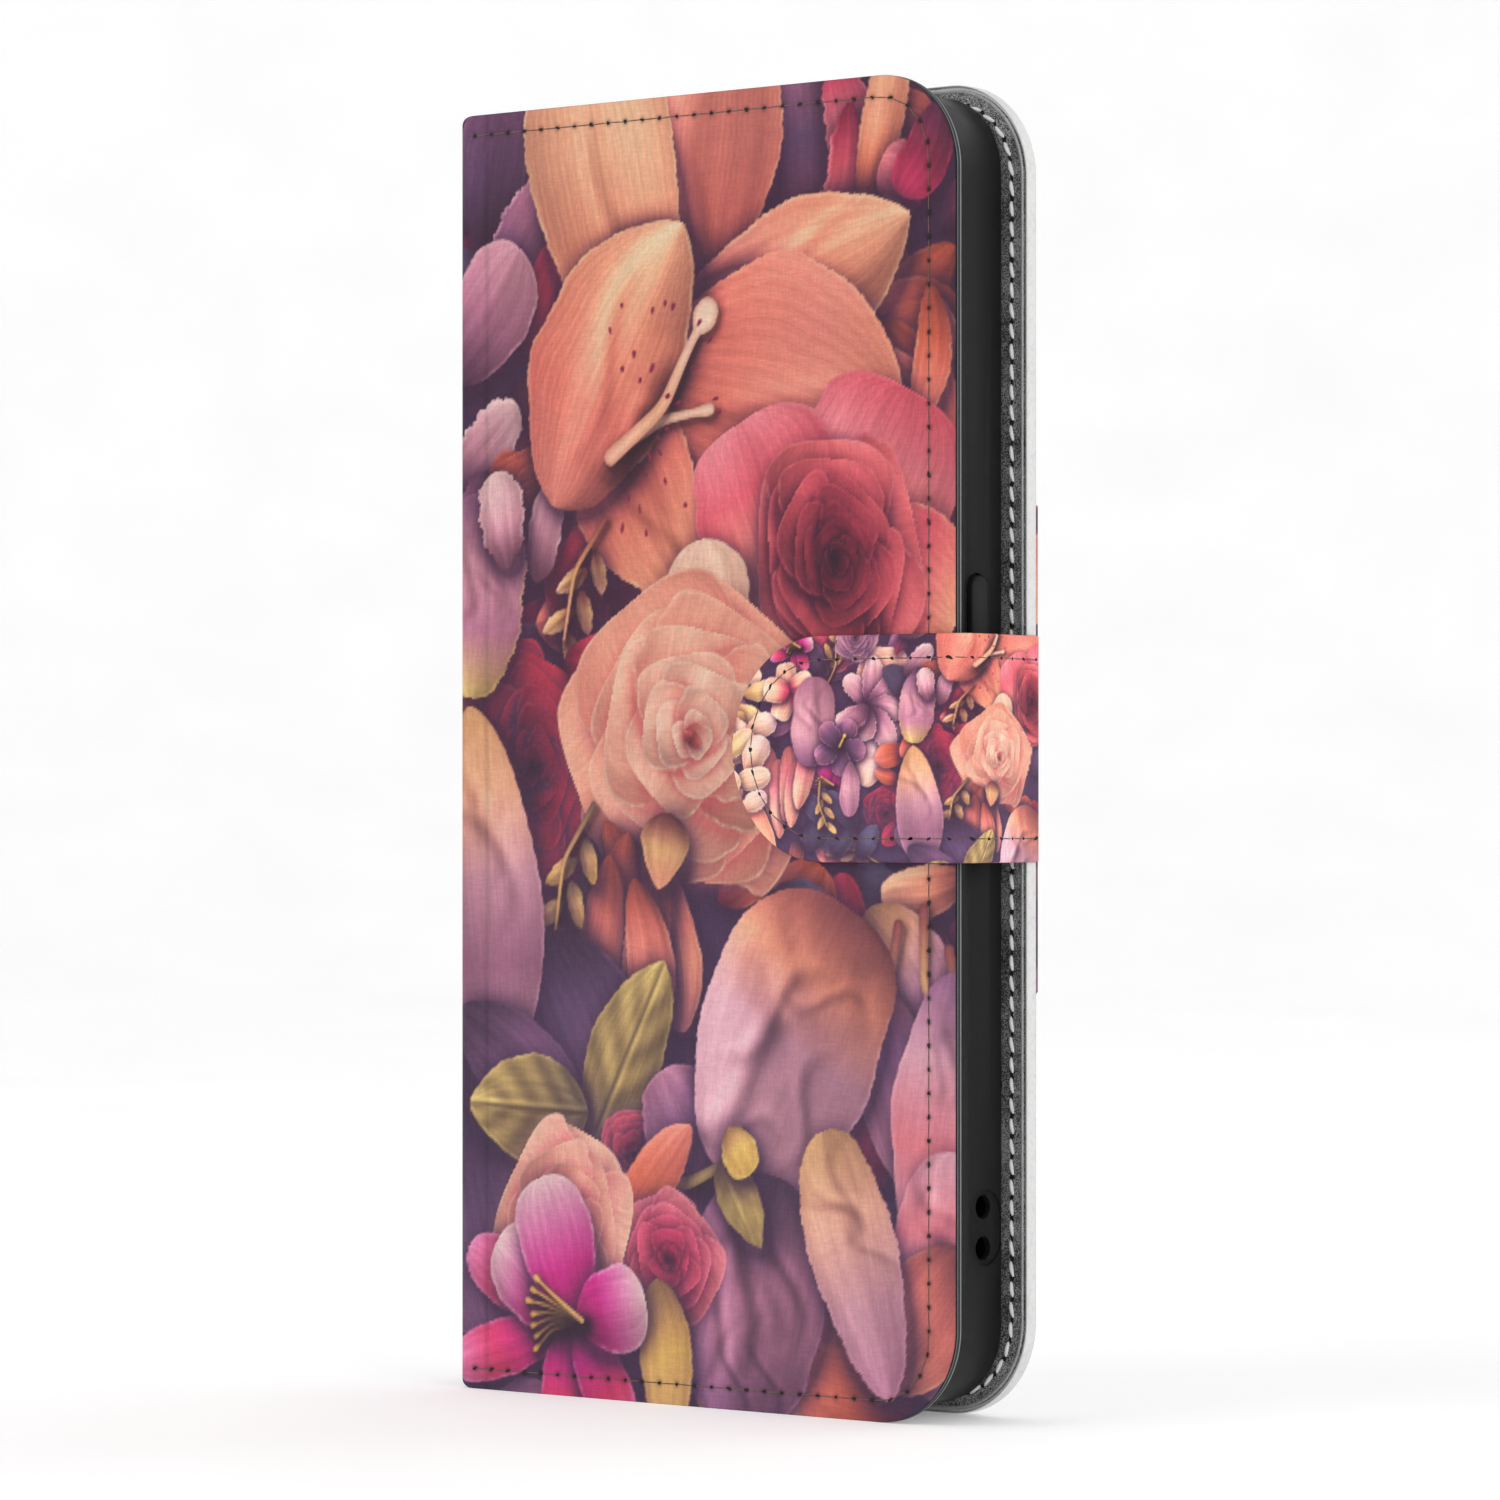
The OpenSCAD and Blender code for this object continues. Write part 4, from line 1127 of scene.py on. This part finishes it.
def spine():
    """The spine between its two folds, with the print outside and the lining inside."""
    # Outer leather, from the back cover round the spine to the front cover
    c = 1.2
    back = line(FOLD, CASE_T, c, CASE_T, 3)[:-1] + arc(c, CASE_T - c, c, 90, 180, 9)
    back += line(0, CASE_T - c, 0, CASE_T - FOLD, 3)[1:]
    front = line(0, FOLD, 0, c, 3)[:-1] + arc(c, c, c, 180, 270, 9) + line(c, 0, FOLD, 0, 3)[1:]
    flat = line(0, CASE_T - FOLD, 0, FOLD, int((CASE_T - 2 * FOLD) / GRID))
    near_back = [drop(max(x, CASE_T - y)) for x, y in back]
    near_front = [drop(max(x, y)) for x, y in front]
    s1, s2 = lengths(front)[-1], CASE_T - 2 * FOLD
    fold("spine_fold_front", front, .7, "spine", "front_cover", near_front, FOLD - s1)
    fold("spine_fold_back", back, .85, "back_cover", "spine", near_back, FOLD - s1 - s2 - lengths(back)[-1])
    band("spine_leather", flat, [.9] * len(flat), [0.] * len(flat), [CASE_H] * len(flat),
         lambda i, z: (FOLD - s1 - s2 + s2 * i / (len(flat) - 1), CASE_H - z), [PRINT, GREY], edge=.4,
         body="spine", slot="printed_leather", stands_for=("spine_skin", "spine_board"))
    # Lining on the inside of the spine and of its folds
    inner, r = SPINE_FACE, .12
    ob, path = spine_lining("spine_lining_front", line(FOLD, inner, inner + r, inner, 3)[:-1]
                            + arc(inner + r, inner + r, r, -90, -180, 3)
                            + line(inner, inner + r, inner, FOLD, 3)[1:])
    place((*path[0], MIDDLE))
    place((*path[-1], MIDDLE))
    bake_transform(ob)
    ob, path = spine_lining("spine_lining_back", line(inner, CASE_T - FOLD, inner, LINING_Y - r, 2)[:-1]
                            + arc(inner + r, LINING_Y - r, r, 180, 90, 3)
                            + line(inner + r, LINING_Y, FOLD, LINING_Y, 3)[1:])
    place((*path[0], MIDDLE))
    place((*path[-1], MIDDLE))
    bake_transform(ob)
    spine_lining("spine_lining", line(inner, FOLD, inner, CASE_T - FOLD, 4), .5, body="spine",
                 stands_for=("spine_liner",))


# ---------------------------------------------------------------- moulded shell

def stadium(y, z, l, w, n=16):
    """An outline in y and z with round ends, l high and w wide."""
    h = (l - w) / 2
    upper = np.linspace(.001, math.pi - .001, n)
    lower = np.linspace(math.pi + .001, TAU - .001, n)
    return [(y + w / 2 * math.cos(a), z + (h if math.sin(a) >= 0 else -h) + w / 2 * math.sin(a))
            for a in np.concatenate([upper, lower])]


def circle(a, b, r, n):
    """A round outline of radius r about (a, b)."""
    return [(a + r * math.cos(t), b + r * math.sin(t)) for t in np.linspace(0, TAU, n, endpoint=False)]


def tool(outline, axis, lo, hi):
    """A closed prism along x or z, to cut the shell with."""
    n = len(outline)
    if axis == "x":
        verts = [(lo, a, b) for a, b in outline] + [(hi, a, b) for a, b in outline]
    else:
        verts = [(a, b, lo) for a, b in outline] + [(a, b, hi) for a, b in outline]
    faces = strip(0, n) + [tuple(range(n))[::-1], tuple(range(n, 2 * n))]
    me = bpy.data.meshes.new("tool")
    me.from_pydata(place(verts).tolist(), [], faces)
    ob = bpy.data.objects.new("tool", me)
    bpy.context.scene.collection.objects.link(ob)
    bpy.context.view_layer.objects.active = ob
    face_out(me)
    return ob


def settle(ob):
    """Keeps the result of an object's modifiers as its mesh."""
    bpy.context.view_layer.update()
    done = bpy.data.meshes.new_from_object(ob.evaluated_get(bpy.context.evaluated_depsgraph_get()))
    old = ob.data
    ob.modifiers.clear()
    ob.data = done
    bpy.data.meshes.remove(old)


def shell():
    """The moulded shell that grips the phone, with its slots, ports and lanyard holes."""
    x0, x1 = SHELL_X
    z0, z1 = SHELL_Z
    y0, y1 = SHELL_Y

    def outline(inset):
        r = SHELL_R - inset
        return rounded(x0 + inset, x1 - inset, z0 + inset, z1 - inset, r, r, 22)
    # From the rear face, up the outer wall with its fine groove, over the lip and down the inner wall
    profile = [(1.1, y1)] + rounding(.7, y1 - 1, y1)[::-1]
    profile += [(0, 12.), (0, 6.), (0, y0 + 1.25), (.1, y0 + 1.1), (.1, y0 + .95), (0, y0 + .8)]
    profile += rounding(.55, y0 + .8, y0)
    profile += [(1.5, y0), (1.8, y0 + .1), (2., y0 + .35), (2., y0 + .9), (1.8, y0 + 1.2), (1.3, y0 + 1.3)]
    profile += [(1.3, 12.4), (1.45, 12.8), (1.8, 13.)]
    body = plate("phone_shell", outline, profile, [BLACK], window=window_outline(), sharp=30.)
    # Slots of the keys, the lanyard's recess and holes, the ports and the microphone hole
    cutters = [tool(stadium(KEY_Y, POWER_Z, 17.5, 3.9), "x", 78, 82),
               tool(stadium(KEY_Y, VOLUME_Z, 24.5, 3.9), "x", 1, 4.5),
               tool(stadium(LANYARD_Y, LANYARD_Z, 9.6, 6.4), "x", 80, 82)]
    cutters += [tool(circle(LANYARD_Y, LANYARD_Z + half, 1.5, 32), "x", 78, 82) for half in (-2.6, 2.6)]
    for x, l, w in ((PORT_X, 13, 6), (62.4, 16, 2.2), (20.4, 6, 2.2)):
        cutters.append(tool([(x + b, a) for a, b in stadium(KEY_Y, 0, l, w)], "z", .5, 4))
    cutters.append(tool(circle(PORT_X, KEY_Y, 1.1, 24), "z", 164, 168))
    for c in cutters:
        m = body.modifiers.new("cut", "BOOLEAN")
        m.operation, m.solver, m.object = "DIFFERENCE", "EXACT", c
    m = body.modifiers.new("edges", "BEVEL")
    m.width, m.segments, m.limit_method, m.angle_limit = .00018, 2, "ANGLE", math.radians(50)
    settle(body)
    for c in cutters:
        bpy.data.objects.remove(c)
    body.data.shade_smooth()
    body.data.set_sharp_from_angle(angle=math.radians(45))
    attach(body, "back_cover")
    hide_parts("shell")


def key(name, sign, x, z, l, body, node_name):
    """A raised key with a rounded edge. sign is +1 where it stands out towards +x."""
    steps = [(0., -1.2), (0., .35), (.06, .58), (.2, .72), (.45, .8), (.8, .84), (1.3, .85)]
    verts = [(x + sign * up, a, b) for inset, up in steps
             for a, b in stadium(KEY_Y, z, l - 2 * inset, KEY_W - 2 * inset)]
    n = len(verts) // len(steps)
    faces = []
    for i in range(len(steps) - 1):
        faces += strip(i * n, n)
    faces += [tuple(range(n)), tuple(range((len(steps) - 1) * n, len(steps) * n))]
    if sign > 0:
        faces = [f[::-1] for f in faces]
    faces[-1] = faces[-1][::-1]
    piece(name, np.array(verts), faces, [KEYS], body, "black_keys", (node_name,), sharp=60.)
    # The thin web of the shell that joins the key to its slot
    rim = [(.7, 4.1, -.62), (.5, 3.9, -.5), (.25, 3.65, -.42), (-.1, 3.3, -.5), (-.4, 3., -.75)]
    verts = [(x + sign * up, a, b) for more, w, up in rim for a, b in stadium(KEY_Y, z, l + more, w)]
    faces = []
    for i in range(len(rim) - 1):
        faces += strip(i * n, n)
    piece(name + "_web", np.array(verts), faces, [BLACK], "back_cover", "black_shell", sharp=60.)


# ---------------------------------------------------------------- strap

FRONT_CORNER = (85.4, .7), (83.7, -1.)       # where the strap's front corner starts and stops bending
BACK_CORNER = (82.5, 17.1), (84.6, 13.5)
TIP_X, TAB_END = 63.2, 80.2                  # centre of the tab's round end, and where its flat stretch ends
TAB_T, CORNER_T, SIDE_T, ROOT_T = 1.3, .75, .85, .5     # thickness at the tab, front corner, side and back
FINE = GRID * .6                             # spacing of the strap's smaller print


def strap_path():
    """The strap's outer face from its tip to the patch on the back cover, in four stretches."""
    x = TIP_X - STRAP_HALF * np.cos(np.linspace(math.radians(4), math.pi / 2, int(18 / FINE)))
    tab = [(v, TAB_OUT) for v in x] + line(TIP_X, TAB_OUT, TAB_END, TAB_OUT, int(17 / FINE))[1:]
    front = line(TAB_END, TAB_OUT, 82.2, TAB_OUT, int(2 / FINE))[:-1]
    front += arc(82.2, 2.5, 4., -90, 0, int(6 / FINE)) + line(86.2, 2.5, 86.1, 5.5, int(3 / FINE))[1:]
    side = line(86.1, 5.5, 84.9, 12, int(6.6 / FINE)) + line(84.9, 12, 84.6, 13.5, int(1.5 / FINE))[1:]
    back = line(84.6, 13.5, 84.5, 15.6, 6)[:-1] + arc(83., 15.6, 1.5, 0, 90, 10)
    back += line(83., ANCHOR_Y, 82.5, ANCHOR_Y, 2)[1:]
    return tab, front, side, back


def strap_art(s, z):
    """The point of the print, which is smaller here, at s mm from the strap's tip and height z."""
    return 40 + (s - 43) * 2.8, 79 + (STRAP_Z - z) * 3.2


def strap():
    """The strap's printed leather: its tab, its side and the folds at both corners."""
    tab, front, side, back = strap_path()
    starts = np.cumsum([0] + [lengths(p)[-1] for p in (tab, front, side, back)])
    half = [math.sqrt(max(STRAP_HALF ** 2 - max(TIP_X - x, 0) ** 2, 0)) for x, _ in tab]
    corner = np.interp(lengths(front), (0, 3.4, 8, 11), (TAB_T, CORNER_T, CORNER_T, SIDE_T))
    parts = (("strap_tab_leather", tab, [TAB_T] * len(tab), ("strap_tab_skin", "strap_tab_liner")),
             ("strap_fold_front", front, list(corner), ()),
             ("strap_side_leather", side, list(np.linspace(SIDE_T, ROOT_T, len(side))),
              ("strap_side_skin", "strap_side_liner")),
             ("strap_fold_back", back, [ROOT_T] * len(back), ()))
    for k, (name, path, depth, nodes) in enumerate(parts):
        s = lengths(path) + starts[k]
        h = half if k == 0 else [STRAP_HALF] * len(path)
        ob = band(name, path, depth, [STRAP_Z - v for v in h], [STRAP_Z + v for v in h],
                  lambda i, z, s=s: strap_art(s[i], z), [PRINT, GREY], edge=.35, slot="printed_leather",
                  bright=1.16, step=FINE, soft=.3, stands_for=nodes)
        turn_strap(ob, k)


def patch():
    """The patch on the back cover that the strap is sewn to, with its edge and seam."""
    x0, x1, z0, z1, r, e = 62.25, 83.5, 53.5, 114.5, 5.75, .25
    rows, cols = int((z1 - z0) / GRID), int((x1 - x0) / GRID)
    turns = np.radians(np.linspace(0, 90, int(r / GRID * 1.2)))
    left = [(x0 + r - r * math.sin(t), z0 + r - r * math.cos(t), -math.sin(t), -math.cos(t)) for t in turns]
    left += [(x0, z, -1., 0.) for z in np.linspace(z0 + r, z1 - r, rows)[1:-1]]
    left += [(x, z0 + z1 - z, nx, -nz) for x, z, nx, nz in left[len(turns) - 1::-1]]
    left, u = np.array(left), np.linspace(0, 1, cols)
    grid = np.stack([left[:, :1] + (x1 - left[:, :1]) * u, np.repeat(left[:, 1:2], cols, 1)], -1)
    flat = grid.reshape(-1, 2)
    n, total = len(left), len(flat)
    faces = [(i * cols + j, (i + 1) * cols + j, (i + 1) * cols + j + 1, i * cols + j + 1)
             for i in range(n - 1) for j in range(cols - 1)]
    # Its rim: each point's row and column, and the direction out of it
    loop = [(0, j, 0., -1.) for j in range(1, cols)] + [(i, cols - 1, 1., 0.) for i in range(1, n)]
    loop += [(n - 1, j, 0., 1.) for j in range(cols - 2, 0, -1)]
    loop += [(i, 0, *left[i, 2:]) for i in range(n - 1, -1, -1)]
    rim = np.array([grid[i, j] for i, j, _, _ in loop])
    out = np.array([(nx, nz) for _, _, nx, nz in loop])
    m = len(loop)
    verts, plane = [np.insert(flat, 1, ANCHOR_Y, axis=1)], [flat]
    for t in np.radians((35, 70, 90)):
        p = rim + out * e * math.sin(t)
        verts.append(np.insert(p, 1, ANCHOR_Y - e * (1 - math.cos(t)), axis=1))
        plane.append(p)
    verts.append(np.insert(rim + out * e, 1, CASE_T - .04, axis=1))
    plane.append(plane[-1])
    ring = [i * cols + j for i, j, _, _ in loop]
    for k in range(4):
        first = ring if k == 0 else list(range(total + (k - 1) * m, total + k * m))
        second = list(range(total + k * m, total + (k + 1) * m))
        faces += [(first[i], first[(i + 1) % m], second[(i + 1) % m], second[i]) for i in range(m)]
    ob = piece("strap_patch", np.concatenate(verts), faces, [PRINT], "back_cover", "printed_leather",
               ("strap_anchor",), sharp=70.)
    plane = np.concatenate(plane)
    rgb, grain = collage(np.stack([2 * CASE_W - plane[:, 0], CASE_H - plane[:, 1]], -1))
    store_print(ob, rgb, grain)
    near, far, end = 2.2, 4.5, 81.
    path = np.array([(end, z0 + near), (x0 + far, z0 + near), (x0 + near, z0 + far), (x0 + near, z1 - far),
                     (x0 + far, z1 - near), (end, z1 - near)])
    s = lengths(path)
    at = np.arange(0, s[-1], 2.9)
    x, z = (np.interp(at, s, path[:, k]) for k in (0, 1))
    holes = np.stack([x, np.full(len(at), ANCHOR_Y), z], -1)
    sew("strap_patch_seam", holes, BACKWARDS, [BROWN_THREAD, HOLE_SHADE], .2, .09, .25,
        body="back_cover", slot="brown_thread")


def turn_strap(ob, part):
    """Lets the strap's tab and side ride on their bodies; the pieces at its corners are left in the shared
    frame.
    """
    if part == 0:
        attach(ob, "strap_tab")
    elif part == 1:
        start, end = (place((x, y, STRAP_Z)) for x, y in FRONT_CORNER)
        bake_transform(ob)
        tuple(start)
        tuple(end)
    elif part == 2:
        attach(ob, "strap_side")
    else:
        start, end = (place((x, y, STRAP_Z)) for x, y in BACK_CORNER)
        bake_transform(ob)
        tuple(start)
        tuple(end)


def strap_seams():
    """The seam that runs 3 mm inside the strap's edges, from the back round the tip and back again."""
    tab, front, side, back = strap_path()
    inset, step = 3., 2.95
    whole = tab + front[1:] + side[1:] + back[1:]
    s = lengths(whole)
    bounds = np.cumsum([0] + [lengths(p)[-1] for p in (tab, front, side, back)])
    r = STRAP_HALF - inset
    turn = np.linspace(math.pi, math.pi / 2, 40)
    first = [(STRAP_HALF + r * math.cos(a), r * math.sin(a)) for a in turn]        # (s, height) round the tip
    edge = first + [(bounds[4] - .3, r)]
    dist = lengths(edge)
    n = int(dist[-1] / step)
    at = np.arange(n + 1) * step
    run = np.stack([np.interp(at, dist, np.array(edge)[:, k]) for k in (0, 1)], -1)
    seam = np.concatenate([run[::-1] * (1, -1), run[1:]])
    path = np.asarray(whole, float)
    way = np.gradient(path, s, axis=0)
    way /= np.hypot(*way.T)[:, None]
    holes, out, part = [], [], []
    for a, h in seam:
        x, y = (np.interp(a, s, path[:, k]) for k in (0, 1))
        tx, ty = (np.interp(a, s, way[:, k]) for k in (0, 1))
        holes.append((x, y, STRAP_Z + h))
        out.append((ty, -tx, 0.))
        part.append(int(np.searchsorted(bounds, a, side="right")) - 1)
    holes, out, part = np.array(holes), np.array(out), np.array(part)
    names = ("strap_tab_seam", "strap_fold_front_seam", "strap_side_seam", "strap_fold_back_seam")
    nodes = {"strap_tab_seam": ("strap_tab_stitching",), "strap_side_seam_a": ("strap_side_stitching",)}
    for k in range(4):
        pick = np.flatnonzero(part == k)
        groups = np.split(pick, np.flatnonzero(np.diff(pick) > 1) + 1)
        for j, g in enumerate(groups):
            # Each group ends with the next hole, so that no stitch is missing between two parts
            g = np.append(g, g[-1] + 1) if g[-1] + 1 < len(holes) else g
            if len(g) < 2:
                continue
            half = "" if len(groups) == 1 else "_" + "ab"[j]
            ob = sew(names[k] + half, holes[g], out[g], [BROWN_THREAD, HOLE_SHADE], .15, .07, .25,
                     slot="brown_thread", stands_for=nodes.get(names[k] + half, ()))
            turn_strap(ob, k)
            if k in (0, 2):
                # The same seam on the strap's inside
                depth = np.interp(holes[g][:, 1], (TAB_OUT, 5.5, 13.5), (TAB_T, SIDE_T, ROOT_T))
                ob = sew(names[k] + "_inner" + half, holes[g] - out[g] * depth[:, None], -out[g],
                         [DARK_THREAD, HOLE_SHADE], .2, .09, .24, slot="brown_thread")
                turn_strap(ob, k)


# ---------------------------------------------------------------- parts kept from the CAD model

KEPT = {"note_pocket": POCKET, "card_pocket_1": POCKET, "card_pocket_2": POCKET, "card_pocket_3": POCKET,
        "closure_plate": STEEL, "strap_tab_magnet": MAGNET, "strap_tab_core": BOARD, "shell_pad": PAD}


def dress_cad():
    """Gives the CAD nodes that stay visible their materials."""
    for name, finish in KEPT.items():
        for slot in bpy.data.objects[name].material_slots:
            slot.material = finish


# ---------------------------------------------------------------- stage, lights and camera

def stage():
    """A pale floor that curves up into the wall all round."""
    f = Finish("backdrop", .9, Specular_IOR_Level=.1)
    pale = f.blend(f.noise(60., 3.), .2, .8, (.86, .86, .86), (.9, .9, .9))
    f.colour(pale)
    f.tree.links.new(pale, f.bsdf.inputs["Emission Color"])
    f.bsdf.inputs["Emission Strength"].default_value = .25
    flat, tall, bend = 2.2, 2.4, .8
    turns = np.linspace(0, math.pi / 2, 12)[1:]
    curve = [(.3, 0.), (1., 0.), (flat - bend, 0.)]
    curve += [(flat - bend + bend * math.sin(a), bend - bend * math.cos(a)) for a in turns] + [(flat, tall)]
    n = 64
    verts = [(r * math.cos(TAU * k / n), r * math.sin(TAU * k / n), z) for r, z in curve for k in range(n)]
    faces = [tuple(range(n))]
    for i in range(len(curve) - 1):
        faces += [g[::-1] for g in strip(i * n, n)]
    me = bpy.data.meshes.new("studio_floor")
    me.from_pydata(verts, [], faces)
    me.materials.append(f.mat)
    me.shade_smooth()
    ob = bpy.data.objects.new("studio_floor", me)
    bpy.context.scene.collection.objects.link(ob)


def lamp(name, at, size, power, aim=(0, 0, .084)):
    """A soft rectangular light that faces the case's middle."""
    data = bpy.data.lights.new(name, "AREA")
    data.energy, data.shape = power, "RECTANGLE"
    data.size, data.size_y = size
    ob = bpy.data.objects.new(name, data)
    ob.location = at
    ob.rotation_euler = (Vector(aim) - Vector(at)).to_track_quat("-Z", "Y").to_euler()
    bpy.context.scene.collection.objects.link(ob)


def studio():
    """The world, the lights and the camera."""
    world = bpy.data.worlds.new("studio")
    world.use_nodes = True
    world.node_tree.nodes["Background"].inputs["Color"].default_value = (1, 1, 1, 1)
    world.node_tree.nodes["Background"].inputs["Strength"].default_value = .54
    scene = bpy.context.scene
    scene.world = world
    scene.view_settings.view_transform = "Standard"
    scene.view_settings.look = "None"
    lamp("key", (-.5, -1.1, .9), (.9, .9), 4.4)
    lamp("fill", (1.2, -.3, .5), (.7, 1.2), 2.8)
    lamp("back", (.4, 1.2, .8), (1., 1.), 2.4)
    data = bpy.data.cameras.new("camera")
    data.lens, data.sensor_width, data.shift_y = 147.3, 36, .0387
    data.clip_start, data.clip_end = .05, 20
    camera = bpy.data.objects.new("camera", data)
    camera.location = (.5138, -.6001, .0766)
    camera.rotation_euler = (math.radians(90), 0, math.radians(40.5))
    scene.collection.objects.link(camera)
    scene.camera = camera


dress_cad()
front_cover()
linings()
inner_seams()
back_cover()
spine()
shell()
key("power_key_cap", 1, SHELL_X[1], POWER_Z, 17., "power_key", "power_button")
key("volume_key_cap", -1, SHELL_X[0], VOLUME_Z, 24., "volume_key", "volume_button")
strap()
patch()
strap_seams()
stage()
studio()
